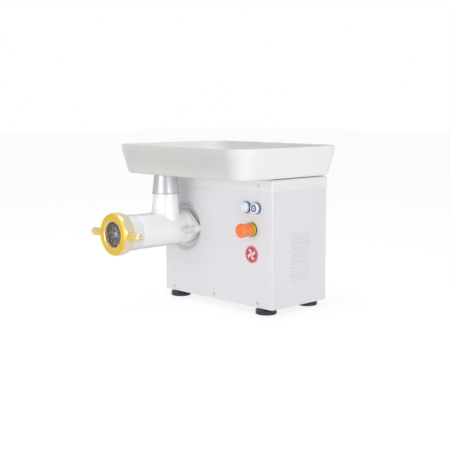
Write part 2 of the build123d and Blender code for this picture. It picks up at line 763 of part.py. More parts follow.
def worm_end_cap():
    # Closes the worm tube's left end; the bearing seats against it.
    outer = -worm_tube_end
    cap = post(worm_tube_r, outer - 5, outer)
    cap = cap + tube(worm_seat_r, worm_seat_r - 5, outer, -worm_bearing_x - worm_seat_w)
    return Pos(head_x, 0, 0) * along_x(gear_y, worm_z) * cap


box_len = 72.0                   # terminal box
box_w = 68.0
box_h = 26.0
box_sink = 4.0
plastic_t = 2.5
can_r = 17.5                     # run capacitor
can_len = 84.0
can_past_screw = 11.6            # can's end right of the middle low screw
contactor_w = 45.0
contactor_h = 75.0
contactor_d = 50.0
contactor_nose = 14.0
contactor_x = right_x - 116.0
contactor_top = cover_z - 10.0


def terminal_box():
    # Rounded box saddled on the middle of the motor's frame.
    x = (frame_x0 + frame_x1) / 2
    top = worm_z + motor_r
    half, side = box_len / 2, box_w / 2
    box = block(x - half, x + half, gear_y - side, gear_y + side, top - box_sink, top + box_h)
    box = fillet(box.edges().filter_by(Axis.Z), 4.0)
    half, side = half - plastic_t, side - plastic_t
    box = box - block(x - half, x + half, gear_y - side, gear_y + side, top, top + box_h - plastic_t)
    return box - along_x(gear_y, worm_z) * post(motor_r, x - box_len, x + box_len)


def run_capacitor():
    # Round can lying on the floor behind the motor, with two tags.
    can = fillet(post(can_r, 0, can_len).edges(), 2.0)
    for side in (-1, 1):
        can = can + Pos(side * 6, 0, can_len) * post(2, 0, 9)
    x = low_screw_x[1] + can_past_screw
    return Pos(x, back_y - sheet - can_r - 4.5, floor_z + can_r) * Rot(0, 90, 0) * can


def contactor():
    # Relay for the push buttons, on the rear panel.
    x0, x1 = contactor_x, contactor_x + contactor_w
    low = contactor_top - contactor_h
    y = back_y - sheet - contactor_d
    body = block(x0, x1, y, back_y - sheet, low, contactor_top)
    body = fillet(body.edges().filter_by(Axis.Y), 2.0)
    return body + block(x0 + 6, x1 - 6, y - contactor_nose, y, low + 18, contactor_top - 18)


gland_flats = 24.0
gland_head = 16.0                # gland outside the panel
gland_deep = 12.0                # gland inside it


def cable_gland():
    dome_r = gland_thread_r + 0.5
    body = hex_bar(gland_flats, 0, 6) + post(gland_thread_r, -gland_deep, 0) + post(dome_r, 6, gland_head)
    body = fillet(body.edges().group_by(Axis.Z)[-1], 2.5)
    body = body - post(gland_bore_r, -gland_deep, gland_head)
    return Pos(gland_x, back_y, gland_z) * Rot(-90, 0, 0) * body


# ---------------------------------------------------------------- controls

button_r = 14.6                  # moving cap
bezel_r = 15.8
bezel_h = 5.5
bezel_floor = 1.0
button_out = 13.4                # cap's front from the casing
button_travel = 3.5
stem_r = 4.0
bush_r = switch_hole_r - 0.2
bush_len = 22.0
pocket_r = 8.0
pocket_len = 14.0
block_side = 28.0
block_len = 34.0
block_hole_r = 6.0
end_gap = 0.2                    # left at the end of a button's travel

stop_cap_r = 19.5
stop_skirt_r = 17.0
stop_out = 47.5
stop_travel = 5.0
stop_base_h = 3.0
stop_shoulder = 22.0             # plunger's shoulder above the cap's lower edge
stop_shoulder_t = 3.0
spring_sink = 5.0
stop_base_r = 19.5
yellow_r = 18.7
yellow_top = 10.0
plunger_r = 5.0
wire_r = 0.5
spring_r = 6.2
badge_r = 23.5


def out_of_panel(x, z):
    # Turns an upright piece so that its height points out of the front.
    return Pos(x, front_y, z) * Rot(90, 0, 0)


def button_bezels():
    # Threaded bushes of the two push buttons, each with its ring on the panel.
    bezel = turned((bezel_r, 0), (bezel_r, bezel_h), (bezel_r - 0.8, bezel_h), (bezel_r - 0.8, bezel_floor),
                   (pocket_r, bezel_floor), (pocket_r, -pocket_len), (stem_r + run_gap, -pocket_len),
                   (stem_r + run_gap, -bush_len), (bush_r, -bush_len), (bush_r, 0))
    return joined([out_of_panel(x, button_z) * bezel for x in button_x])


def push_button(x):
    # Cap with a soft front edge, on a stem that runs in the bush.
    low = bezel_floor + button_travel + end_gap
    cap = fillet(post(button_r, low, button_out).edges().group_by(Axis.Z)[-1], 4.0)
    cap = cap - post(pocket_r, low, low + 3)
    stem = post(stem_r, -bush_len - 2, low + 4)
    return out_of_panel(x, button_z) * (cap + stem)


def return_spring(low, high, place):
    turns = 5
    path = Helix((high - low - 2 * wire_r) / turns, high - low - 2 * wire_r, spring_r)
    wire = Plane(origin=path @ 0, z_dir=path % 0) * Circle(wire_r)
    return place * Pos(0, 0, low + wire_r) * sweep(wire, path=path, is_frenet=True)


def control_springs():
    # Return springs of the two buttons and the emergency stop.
    button_low = bezel_floor + button_travel + end_gap
    stop_low = stop_base_h + stop_travel + end_gap
    springs = [return_spring(-pocket_len + end_gap, button_low + 3 - end_gap, out_of_panel(x, button_z))
               for x in button_x]
    springs.append(return_spring(-pocket_len + end_gap, stop_low + spring_sink - end_gap,
                                 out_of_panel(stop_x, stop_z)))
    return joined(springs)


def contact_blocks():
    # Switch blocks on the inner ends of the two buttons and the emergency stop.
    side = block_side / 2
    top = -bush_len
    switch = block(-side, side, -side, side, top - block_len, top)
    switch = fillet(switch.edges().filter_by(Axis.Z), 2.0)
    switch = switch - post(block_hole_r, top - 12, top)
    places = [out_of_panel(x, button_z) for x in button_x] + [out_of_panel(stop_x, stop_z)]
    return joined([place * switch for place in places])


def lock_nuts():
    # Nuts behind the sheet: one for each switch bush and one for the cable gland.
    nut = tube(switch_hole_r + 2.8, bush_r, -sheet - 4, -sheet)
    places = [out_of_panel(x, button_z) for x in button_x] + [out_of_panel(stop_x, stop_z)]
    gland_nut = hex_bar(gland_flats, -sheet - 5, -sheet) - post(gland_thread_r, -gland_deep, 0)
    gland_nut = Pos(gland_x, back_y, gland_z) * Rot(-90, 0, 0) * gland_nut
    return joined([place * nut for place in places] + [gland_nut])


def stop_base():
    base = turned((stop_base_r, 0), (stop_base_r, stop_base_h), (pocket_r, stop_base_h),
                  (pocket_r, -pocket_len), (plunger_r + run_gap, -pocket_len),
                  (plunger_r + run_gap, -bush_len), (bush_r, -bush_len), (bush_r, 0))
    return out_of_panel(stop_x, stop_z) * base


def stop_collar():
    collar = tube(yellow_r, stop_skirt_r + slide_gap, stop_base_h, yellow_top)
    return out_of_panel(stop_x, stop_z) * collar


def stop_plunger():
    # Shaft of the emergency stop; its shoulder keeps the cap on.
    low = stop_base_h + stop_travel + end_gap
    shoulder = low + stop_shoulder
    shaft = turned((0, -bush_len - 2), (plunger_r, -bush_len - 2), (plunger_r, shoulder),
                   (plunger_r + 2, shoulder), (plunger_r + 2, shoulder + stop_shoulder_t),
                   (0, shoulder + stop_shoulder_t))
    return out_of_panel(stop_x, stop_z) * shaft


def stop_cap():
    # Mushroom head and skirt, turned on the plunger to let it go.
    low = stop_base_h + stop_travel + end_gap
    step = yellow_top + stop_travel + 0.5
    cap = turned((0, low), (stop_skirt_r, low), (stop_skirt_r, step), (stop_cap_r - 1, step + 1),
                 (stop_cap_r - 1, stop_out - 14), (stop_cap_r, stop_out - 11), (stop_cap_r, stop_out - 6),
                 (stop_cap_r - 2, stop_out - 2), (stop_cap_r - 6, stop_out), (0, stop_out))
    bore_r = plunger_r + run_gap
    shoulder = low + stop_shoulder - run_gap
    seat_end = shoulder + stop_shoulder_t + 2 * run_gap
    bore = turned((0, low), (bore_r, low), (bore_r, shoulder), (bore_r + 2, shoulder),
                  (bore_r + 2, seat_end), (0, seat_end))
    cap = cap - bore - tube(pocket_r, plunger_r, low, low + spring_sink)
    return out_of_panel(stop_x, stop_z) * cap


def badge():
    disc = fillet(post(badge_r, 0, 1.2).edges().group_by(Axis.Z)[-1], 0.5)
    return out_of_panel(badge_x, badge_z) * disc


# ---------------------------------------------------------------- mincing head

flange_front = front_y - 20.0
flange_back = front_y - dish_proud
lobe_circle_r = 51.3
stud_x = 62.0
lobe_r = 10.0                    # flange's round end about each stud
stud_r = 5.0
stud_end = front_y - 58.0
stud_boss_r = 8.5
spot_h = 4.0
washer_t = 1.5
nut_hub_r = 8.5
nut_len = 24.0
wing_tip = 12.8
wing_t = 6.0
spigot_end = front_y + dish_floor + dish_floor_t - 6
bush_in_r = 16.0
bush_out_r = 20.0
rear_wall_y = front_y - 34.0
mouth_gap = 0.2
mouth_step = 2.0                 # plate's front stands this far out of the barrel
band_r = 49.7
band_back = front_y - 189.0
thread_r = 48.0
neck_blend = 14.0
socket_half = 10.0
socket_depth = 20.0
tang_gap = 0.1
auger_r = barrel_bore_r - 1.0
auger_pitch = 40.0
square_half = 7.5
pilot_r = 6.5
plate_hole_r = 2.4
plate_notch_r = 2.6
plate_pin_r = 2.2
peg_root_r = 10.0
peg_tip_r = 11.8
peg_y = ring_y + 15.0


def neck_radius(height):
    # Outside radius of the neck at a height above the casing's underside.
    return neck_r - neck_taper * (height - neck_gauge)


def grinder_head():
    # Barrel, feed neck, two-lobed flange and rear spigot in one casting.
    place = along_y(head_x, head_z)
    front = plate_y + mouth_step
    body = place * turned((0, front), (thread_r - 1, front), (thread_r, front + 1),
                          (thread_r, ring_y + ring_w), (band_r, ring_y + ring_w), (band_r, band_back - 0.8),
                          (barrel_r, band_back), (barrel_r, flange_front - 9),
                          (barrel_r + 1.0, flange_front - 5.5), (lobe_circle_r, flange_front - 3),
                          (lobe_circle_r, flange_back), (spigot_r, flange_back),
                          (spigot_r, spigot_end - 1), (spigot_r - 1, spigot_end), (0, spigot_end))
    neck = turned((0, 0), (neck_radius(head_height), 0), (neck_radius(neck_top), neck_top - head_height),
                  (0, neck_top - head_height))
    neck = Pos(head_x, neck_y, head_z) * neck
    body = body + neck
    body = blend_neck(body)
    edges = Circle(lobe_circle_r).edges()
    for side in (-1, 1):
        edges = edges + (Pos(side * stud_x, 0) * Circle(lobe_r)).edges()
    flange = extrude(make_hull(edges), flange_back - flange_front)
    body = body + place * Pos(0, 0, flange_front) * flange
    for side in (-1, 1):
        stud_place = along_y(head_x + side * stud_x, head_z)
        body = body + stud_place * post(nut_hub_r + 1, flange_front - spot_h, flange_front)
        body = body - stud_place * post(stud_r + slide_gap, flange_front - spot_h, flange_back)
    body = body - place * turned((0, front), (plate_r + mouth_gap, front),
                                 (plate_r + mouth_gap, knife_y + mouth_gap),
                                 (barrel_bore_r, knife_y + mouth_gap), (barrel_bore_r, rear_wall_y - 6),
                                 (barrel_bore_r - 6, rear_wall_y), (0, rear_wall_y))
    body = body - place * post(bush_out_r, rear_wall_y, spigot_end)
    pin_hole = post(plate_pin_r, front, knife_y + 6)
    body = body - place * Pos(0, plate_r, 0) * pin_hole
    return body - Pos(head_x, neck_y, 0) * post(throat_r, head_z, base_z + neck_top)


def blend_neck(body):
    # Rounds the crease between the neck and the barrel, the body's only free-form edge so far.
    return fillet(body.edges().filter_by(GeomType.BSPLINE), neck_blend)


def head_bush():
    bush = tube(bush_out_r, bush_in_r + run_gap, rear_wall_y, spigot_end)
    return along_y(head_x, head_z) * bush


def head_studs():
    stud = fillet(post(stud_r, stud_end, flange_y0 - 2).edges().group_by(Axis.Z)[0], 0.8)
    return joined([along_y(head_x + side * stud_x, head_z) * stud for side in (-1, 1)])


def clamp_washer(side):
    y = flange_front - spot_h
    washer = tube(nut_hub_r + 1, stud_r + slide_gap, y - washer_t, y)
    return along_y(head_x + side * stud_x, head_z) * washer


def wing_nut(side):
    # Hub with two short wings, upright as it is left when tight.
    y = flange_front - spot_h - washer_t
    hub = turned((nut_hub_r, y), (nut_hub_r, y - 4), (nut_hub_r - 1.0, y - nut_len + 1),
                 (nut_hub_r - 2.0, y - nut_len), (0, y - nut_len), (0, y))
    wing = Plane.YZ * Polygon((-nut_hub_r, y - 5), (-wing_tip, y - 9), (-wing_tip, y - 19),
                              (-nut_hub_r, y - 20), (nut_hub_r, y - 20), (wing_tip, y - 19),
                              (wing_tip, y - 9), (nut_hub_r, y - 5), align=None)
    wings = extrude(wing, wing_t / 2, both=True)
    wings = fillet(wings.edges().filter_by(Axis.X), 2.4)
    nut = hub + wings - post(stud_r + run_gap, y - nut_len - 1, y + 1)
    return along_y(head_x + side * stud_x, head_z) * nut


def plate_pin():
    pin = post(plate_pin_r, plate_y + mouth_step + 0.5, knife_y + 6)
    return along_y(head_x, head_z) * Pos(0, plate_r, 0) * pin


def grinder_plate():
    # Round plate with rings of holes, a centre hole for the auger's pilot and a notch for the pin.
    plate = post(plate_r, plate_y, knife_y)
    plate = fillet(plate.edges().group_by(Axis.Z)[0], 0.8)
    plate = plate - post(pilot_r + run_gap, plate_y, knife_y)
    for radius, count in ((13.0, 12), (19.5, 18), (26.0, 25), (32.5, 31)):
        plate = plate - joined(on_circle(post(plate_hole_r, plate_y, knife_y), count, radius))
    plate = plate - Pos(0, plate_r, 0) * post(plate_notch_r, plate_y, knife_y)
    return along_y(head_x, head_z) * plate


def ring_nut():
    # Cast nut with a front lip and two handle pegs.
    step_y = ring_y + ring_w - 10
    nut = turned((ring_open_r, ring_y + 1), (ring_open_r + 1, ring_y), (ring_r - 7, ring_y),
                 (ring_r - 3, ring_y + 1), (ring_r - 0.8, ring_y + 4), (ring_r, ring_y + 8),
                 (ring_r, step_y - 1), (ring_r - 2, step_y + 1), (ring_r - 2.5, ring_y + ring_w - 1),
                 (ring_r - 3.5, ring_y + ring_w), (thread_r + slide_gap, ring_y + ring_w),
                 (thread_r + slide_gap, plate_y), (ring_open_r + 0.5, plate_y), (ring_open_r, plate_y - 0.5))
    peg_half = turned((0, ring_r - 8), (peg_root_r, ring_r - 8), (peg_root_r, ring_r + 12),
                      (peg_tip_r, ring_reach - 9), (peg_tip_r, ring_reach - 4),
                      (peg_tip_r - 2, ring_reach - 1), (peg_tip_r - 5, ring_reach), (0, ring_reach))
    nut = along_y(head_x, head_z) * nut
    for turn in (90, -90):
        nut = nut + Pos(head_x, peg_y, head_z) * Rot(0, turn, 0) * peg_half
    return nut


def auger():
    # Feed screw: core, one helical flight, rear shank with a square tang, square for the knife, pilot.
    root_r = 15.0
    flight_y0 = knife_y + knife_t + 1
    flight_y1 = rear_wall_y - 7
    tang_y = front_y + dish_floor + dish_floor_t - 5 + socket_depth
    core = turned((0, plate_y + 1), (pilot_r, plate_y + 1), (pilot_r, knife_y), (0, knife_y))
    square = 2 * square_half
    core = core + Pos(0, 0, (knife_y + flight_y0) / 2) * Box(square, square, flight_y0 - knife_y)
    core = core + turned((0, flight_y0 - 1), (root_r - 3, flight_y0 - 1), (root_r + 3, flight_y1),
                         (root_r + 3, rear_wall_y - 1), (bush_in_r, rear_wall_y - 1),
                         (bush_in_r, spigot_end), (0, spigot_end))
    tang = 2 * (socket_half - tang_gap)
    core = core + Pos(0, 0, (spigot_end + tang_y) / 2) * Box(tang, tang, tang_y - spigot_end)
    lead_in = 8.0
    path = Helix(auger_pitch, flight_y1 - flight_y0 - lead_in, root_r)
    frame = Plane(origin=path @ 0, x_dir=(1, 0, 0), z_dir=path % 0)
    reach = auger_r - root_r
    section = frame * Polygon((-6, -4.0), (reach, -2.2), (reach, 2.2), (-6, 4.0), align=None)
    flight = Pos(0, 0, flight_y0 + lead_in / 2) * sweep(section, path=path, is_frenet=True)
    return along_y(head_x, head_z) * (core + flight)


def knife():
    # Four-armed knife on the auger's square, cutting against the plate.
    y0, y1 = knife_y, knife_y + knife_t
    blade_r = barrel_bore_r - 1.5
    blades = post(13.0, y0, y1)
    for i in range(4):
        arm = Polygon((0, -4), (blade_r - 2, -3), (blade_r, 6), (10, 9), align=None)
        arm = Pos(0, 0, y0) * extrude(arm, knife_t - 3)
        blades = blades + Rot(0, 0, 90 * i) * arm
    blades = blades - Pos(0, 0, (y0 + y1) / 2) * Box(2 * square_half, 2 * square_half, 2 * knife_t)
    return along_y(head_x, head_z) * blades


# ---------------------------------------------------------------- tray

tray_rim_r = 64.0
tray_flare = 19.0
tray_straight = 16.0
tray_edge_r = 8.0
collar_low = neck_top - 48.6     # collar's lower end above the casing's underside
collar_wall = 3.4
collar_bead = 0.9
collar_flange_r = 42.0
collar_flange_t = 2.0


def tray_form(inset, low, high):
    # Flared round-cornered box whose last stretch is upright.
    slope_h = tray_h - tray_straight
    width, depth = tray_w - 2 * inset, tray_d - 2 * inset
    radius = tray_rim_r - inset
    rise = (tray_h - tray_straight - low) / slope_h
    flare = tray_flare * rise
    foot = RectangleRounded(width - 2 * flare, depth - 2 * flare, radius - flare)
    taper = math.degrees(math.atan(tray_flare / slope_h))
    form = Pos(0, 0, low) * extrude(foot, tray_h - tray_straight - low, taper=-taper)
    rim = RectangleRounded(width, depth, radius)
    form = form + Pos(0, 0, tray_h - tray_straight) * extrude(rim, high - tray_h + tray_straight)
    return fillet(form.edges().group_by(Axis.Z)[0], tray_edge_r - inset)


def feed_tray():
    tray = tray_form(0, 0, tray_h) - tray_form(tray_wall, tray_wall, tray_h)
    tray = Pos(0, tray_mid_y, tray_z) * tray
    hole = post(collar_radius(tray_z) - 1.5, tray_z, tray_z + tray_wall)
    return tray - Pos(head_x, neck_y, 0) * hole


def collar_radius(z):
    # Outside radius of the tray's collar at height z.
    return neck_radius(z - base_z) + slide_gap + collar_wall


def tray_collar():
    # Spun sleeve that drops over the neck; its flange sits on the tray's floor.
    low = base_z + collar_low
    top = tray_z + tray_wall
    neck_end = base_z + neck_top
    at_tray = collar_radius(tray_z)
    sleeve = turned((neck_radius(collar_low) + slide_gap, low), (collar_radius(low) + collar_bead, low),
                    (collar_radius(low) + collar_bead, low + 3), (collar_radius(low + 4), low + 4.5),
                    (at_tray, tray_z), (at_tray - 1.5, tray_z), (at_tray - 1.5, top),
                    (collar_flange_r, top), (collar_flange_r, top + collar_flange_t),
                    (throat_r + 2, top + collar_flange_t), (throat_r, top),
                    (throat_r, neck_end), (neck_radius(neck_top) + slide_gap, neck_end))
    return Pos(head_x, neck_y, 0) * sleeve


def tray_rests():
    # Rubber pads on the cover that carry the tray's far side.
    pad = turned((0, cover_top), (11, cover_top), (10, tray_z), (0, tray_z))
    far_x = right_x - 70
    places = [(far_x, front_y + 60), (far_x, back_y - 40), (body_shift - 60, back_y - 40)]
    return joined([Pos(x, y, 0) * pad for x, y in places])


# ---------------------------------------------------------------- every node

save("body_shell", body_shell())
save("base_plate", base_plate())
save("rear_panel", rear_panel())
save("top_cover", top_cover())
save("casing_screws", casing_screws())
save("rubber_feet", rubber_feet())
save("foot_screws", foot_screws())

save("gearbox_housing", gearbox_housing())
save("gearbox_cover", gearbox_cover())
save("gearbox_cover_bolts", gearbox_cover_bolts())
save("head_socket", head_socket())
save("frame_bolts", frame_bolts())
save("shaft_seal", shaft_seal())
save("output_shaft", output_shaft())
save("wheel_key", wheel_key())
save("worm_wheel", worm_wheel())
save("worm_end_cap", worm_end_cap())

wheel_axis = along_y(head_x, head_z)
worm_axis = Pos(head_x, 0, 0) * along_x(gear_y, worm_z)
outers = placed_list([front_bearing[0], rear_bearing[0]], wheel_axis)
outers = outers + placed_list([worm_left[0], worm_right[0], fan_end[0]], worm_axis)
save("bearing_outer_rings", joined(outers))
# Inner rings, with their balls, turn with the shafts.
save("output_bearing_inners", placed(front_bearing[1:] + rear_bearing[1:], wheel_axis))
save("rotor_bearing_inners", placed(worm_left[1:] + worm_right[1:] + fan_end[1:], worm_axis))

save("motor_frame", motor_frame())
save("stator_core", stator_core())
save("stator_windings", stator_windings())
save("drive_end_shield", drive_end_shield())
save("fan_end_shield", fan_end_shield())
save("fan_cowl", fan_cowl())
save("motor_cradle", motor_cradle())
save("rotor_shaft", rotor_shaft())
save("rotor_core", rotor_core())
save("cooling_fan", cooling_fan())
save("terminal_box", terminal_box())
save("run_capacitor", run_capacitor())
save("contactor", contactor())
save("cable_gland", cable_gland())

save("button_bezels", button_bezels())
save("start_button", push_button(button_x[0]))
save("reverse_button", push_button(button_x[1]))
save("control_springs", control_springs())
save("contact_blocks", contact_blocks())
save("lock_nuts", lock_nuts())
save("stop_base", stop_base())
save("stop_collar", stop_collar())
save("stop_plunger", stop_plunger())
save("stop_cap", stop_cap())
save("badge", badge())

save("grinder_head", grinder_head())
save("head_bush", head_bush())
save("head_studs", head_studs())
save("clamp_washer_left", clamp_washer(-1))
save("clamp_washer_right", clamp_washer(1))
save("wing_nut_left", wing_nut(-1))
save("wing_nut_right", wing_nut(1))
save("plate_pin", plate_pin())
save("grinder_plate", grinder_plate())
save("ring_nut", ring_nut())
save("auger", auger())
save("knife", knife())

save("feed_tray", feed_tray())
save("tray_collar", tray_collar())
save("tray_rests", tray_rests())
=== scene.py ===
import bpy
import math
import numpy as np
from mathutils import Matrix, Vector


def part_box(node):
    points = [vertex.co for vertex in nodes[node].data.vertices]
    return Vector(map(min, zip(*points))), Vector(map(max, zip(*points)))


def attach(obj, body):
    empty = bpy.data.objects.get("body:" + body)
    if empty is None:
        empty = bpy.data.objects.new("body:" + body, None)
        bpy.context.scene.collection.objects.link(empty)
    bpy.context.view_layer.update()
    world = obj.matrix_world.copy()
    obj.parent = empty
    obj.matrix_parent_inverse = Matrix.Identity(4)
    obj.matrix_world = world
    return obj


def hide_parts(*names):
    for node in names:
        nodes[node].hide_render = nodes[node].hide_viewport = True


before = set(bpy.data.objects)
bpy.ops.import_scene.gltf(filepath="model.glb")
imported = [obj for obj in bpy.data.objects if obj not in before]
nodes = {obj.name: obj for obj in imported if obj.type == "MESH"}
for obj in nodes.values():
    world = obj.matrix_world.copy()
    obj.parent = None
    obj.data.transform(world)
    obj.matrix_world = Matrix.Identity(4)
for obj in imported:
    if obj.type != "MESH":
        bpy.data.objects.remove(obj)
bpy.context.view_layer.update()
scene = bpy.context.scene
print("frame loaded:", len(nodes), "nodes")


def corners(node):
    return tuple(np.array(corner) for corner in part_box(node))


def middle(node):
    low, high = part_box(node)
    return np.array((low + high) / 2)


# ---- camera, light and floor

shot = {
    "place": (1.8951, -1.7344, 0.5630),
    "turn": 45.55,
    "drop": 7.01,
    "lens": 73.27,
    "shift": (-0.0396, -0.0155),
    "sensor": 36.0,
    "far": 50.0,
}


def makeCamera():
    data = bpy.data.cameras.new("shotCamera")
    data.lens = shot["lens"]
    data.sensor_width = shot["sensor"]
    data.shift_x, data.shift_y = shot["shift"]
    data.clip_end = shot["far"]
    camera = bpy.data.objects.new("shotCamera", data)
    camera.location = shot["place"]
    camera.rotation_euler = (math.radians(90 - shot["drop"]), 0, math.radians(shot["turn"]))
    scene.collection.objects.link(camera)
    scene.camera = camera


studio = {
    "sky": 0.66,
    "skyLow": 0.60,
    "skyFrom": 0.55,
    "aim": (0.0, 0.0, 0.22),
    "keys": (
        {"name": "keyRight", "place": (3.0, -0.3, 0.30), "size": 2.2, "power": 31.0},
        {"name": "fillFront", "place": (0.2, -3.0, 0.22), "size": 2.4, "power": 38.0},
        {"name": "topSoft", "place": (-0.2, -0.3, 2.4), "size": 1.6, "power": 17.0},
    ),
    "floorSide": 30.0,
    "floorSeen": 0.82,
    "floorGiven": 0.60,
    "floorPaint": 0.20,
    "floorRough": 0.9,
    "floorShine": 0.1,
}


def grey(tone):
    return (tone, tone, tone, 1)


def makeSky():
    world = bpy.data.worlds.new("studioSky")
    scene.world = world
    world.use_nodes = True
    tree = world.node_tree
    tree.nodes.clear()
    out = tree.nodes.new("ShaderNodeOutputWorld")
    seen = tree.nodes.new("ShaderNodeBackground")       # what the camera sees behind the machine
    seen.inputs["Color"].default_value = grey(1)
    light = tree.nodes.new("ShaderNodeBackground")      # what lights it: bright above, greyer at the sides
    spot = tree.nodes.new("ShaderNodeTexCoord")
    split = tree.nodes.new("ShaderNodeSeparateXYZ")
    ramp = tree.nodes.new("ShaderNodeValToRGB")
    rays = tree.nodes.new("ShaderNodeLightPath")
    mix = tree.nodes.new("ShaderNodeMixShader")
    for stop, place, tone in zip(ramp.color_ramp.elements, (0.0, studio["skyFrom"]), ("skyLow", "sky")):
        stop.position = place
        stop.color = grey(studio[tone])
    tree.links.new(spot.outputs["Generated"], split.inputs[0])
    tree.links.new(split.outputs["Z"], ramp.inputs["Fac"])
    tree.links.new(ramp.outputs["Color"], light.inputs["Color"])
    tree.links.new(rays.outputs["Is Camera Ray"], mix.inputs["Fac"])
    tree.links.new(light.outputs[0], mix.inputs[1])
    tree.links.new(seen.outputs[0], mix.inputs[2])
    tree.links.new(mix.outputs[0], out.inputs["Surface"])


def makeLamps():
    for lamp in studio["keys"]:
        data = bpy.data.lights.new(lamp["name"], "AREA")
        data.shape = "DISK"
        data.size = lamp["size"]
        data.energy = lamp["power"]
        body = bpy.data.objects.new(lamp["name"], data)
        body.location = lamp["place"]
        aim = np.array(studio["aim"]) - np.array(lamp["place"])
        tilt = math.atan2(math.hypot(aim[0], aim[1]), -aim[2])
        body.rotation_euler = (tilt, 0, math.atan2(aim[1], aim[0]) - math.pi / 2)
        scene.collection.objects.link(body)


def makeFloor():
    side = studio["floorSide"] / 2
    mesh = bpy.data.meshes.new("studioFloor")
    ends = [(-side, -side, 0), (side, -side, 0), (side, side, 0), (-side, side, 0)]
    mesh.from_pydata(ends, [], [(0, 1, 2, 3)])
    floor = bpy.data.objects.new("studioFloor", mesh)
    scene.collection.objects.link(floor)
    paper = bpy.data.materials.new("floorPaper")
    paper.use_nodes = True
    shader = paper.node_tree.nodes["Principled BSDF"]
    shader.inputs["Base Color"].default_value = grey(studio["floorPaint"])
    shader.inputs["Roughness"].default_value = studio["floorRough"]
    shader.inputs["Specular IOR Level"].default_value = studio["floorShine"]
    shader.inputs["Emission Color"].default_value = grey(1)
    eye = paper.node_tree.nodes.new("ShaderNodeLightPath")
    glow = paper.node_tree.nodes.new("ShaderNodeMapRange")
    glow.inputs["To Min"].default_value = studio["floorGiven"]
    glow.inputs["To Max"].default_value = studio["floorSeen"]
    paper.node_tree.links.new(eye.outputs["Is Camera Ray"], glow.inputs["Value"])
    paper.node_tree.links.new(glow.outputs["Result"], shader.inputs["Emission Strength"])
    mesh.materials.append(paper)


makeCamera()
makeSky()
makeLamps()
makeFloor()
scene.view_settings.view_transform = "Standard"
print("camera and studio ready")


# ---- materials: every scale is in cycles per metre of Object coordinates, every depth in metres

def makeFinish(name, look):
    # base colour mottled by a broad noise, roughness by a finer one, bump from a grain noise
    mat = bpy.data.materials.new(name)
    mat.use_nodes = True
    tree = mat.node_tree
    shader = tree.nodes["Principled BSDF"]
    link = tree.links.new
    spot = tree.nodes.new("ShaderNodeTexCoord")
    fit = tree.nodes.new("ShaderNodeMapping")
    fit.inputs["Scale"].default_value = look.get("stretch", (1, 1, 1))
    link(spot.outputs["Object"], fit.inputs["Vector"])

    def noise(perMetre, detail=2.0, rough=0.5):
        node = tree.nodes.new("ShaderNodeTexNoise")
        node.inputs["Scale"].default_value = perMetre
        node.inputs["Detail"].default_value = detail
        node.inputs["Roughness"].default_value = rough
        link(fit.outputs[0], node.inputs["Vector"])
        return node.outputs["Fac"]

    def spread(value, low, high, fromLow=0.3, fromHigh=0.7):
        node = tree.nodes.new("ShaderNodeMapRange")
        node.inputs["From Min"].default_value = fromLow
        node.inputs["From Max"].default_value = fromHigh
        node.inputs["To Min"].default_value = low
        node.inputs["To Max"].default_value = high
        link(value, node.inputs["Value"])
        return node.outputs["Result"]

    def blended(under, over, share):
        # under is a colour or a socket; over is the colour where share is 1
        node = tree.nodes.new("ShaderNodeMix")
        node.data_type = "RGBA"
        node.inputs["B"].default_value = tuple(over) + (1,)
        if isinstance(under, tuple):
            node.inputs["A"].default_value = under + (1,)
        else:
            link(under, node.inputs["A"])
        link(share, node.inputs["Factor"])
        return node.outputs["Result"]

    color = blended(tuple(look["color"]), look["tint"], spread(noise(look["mottle"], 3.0), 0.0, 1.0))
    if "speck" in look:
        color = blended(color, look["speckColor"], spread(noise(look["speck"], 1.0), 0.0, 1.0, 0.58, 0.72))
    if "band" in look:
        # each band changes the shade past one place along an axis, and the next may change it back
        parts = tree.nodes.new("ShaderNodeSeparateXYZ")
        link(spot.outputs["Object"], parts.inputs["Vector"])
        for axis, start, end, shade in look["band"]:
            color = blended(color, shade, spread(parts.outputs[axis], 0.0, 1.0, start, end))
    if "edge" in look:
        # painted shade: darker where the surface turns away from the eye, standing in for the dark edges
        # plain metal shows in a pale room
        away = tree.nodes.new("ShaderNodeLayerWeight")
        away.inputs["Blend"].default_value = 0.5
        color = blended(color, look["edge"], spread(away.outputs["Facing"], 0.0, 1.0, *look["edgeFrom"]))
    link(color, shader.inputs["Base Color"])
    low, high = look["rough"]
    link(spread(noise(look["smear"]), low, high), shader.inputs["Roughness"])
    shader.inputs["Metallic"].default_value = look.get("metal", 0.0)
    shader.inputs["Specular IOR Level"].default_value = look.get("specular", 0.5)
    shader.inputs["Coat Weight"].default_value = look.get("coat", 0.0)
    shader.inputs["Coat Roughness"].default_value = look.get("coatRough", 0.1)
    bump = tree.nodes.new("ShaderNodeBump")
    bump.inputs["Distance"].default_value = look["depth"]
    bump.inputs["Strength"].default_value = look["bump"]
    link(noise(look["grain"], look.get("grainDetail", 2.0), 0.55), bump.inputs["Height"])
    link(bump.outputs["Normal"], shader.inputs["Normal"])
    return mat


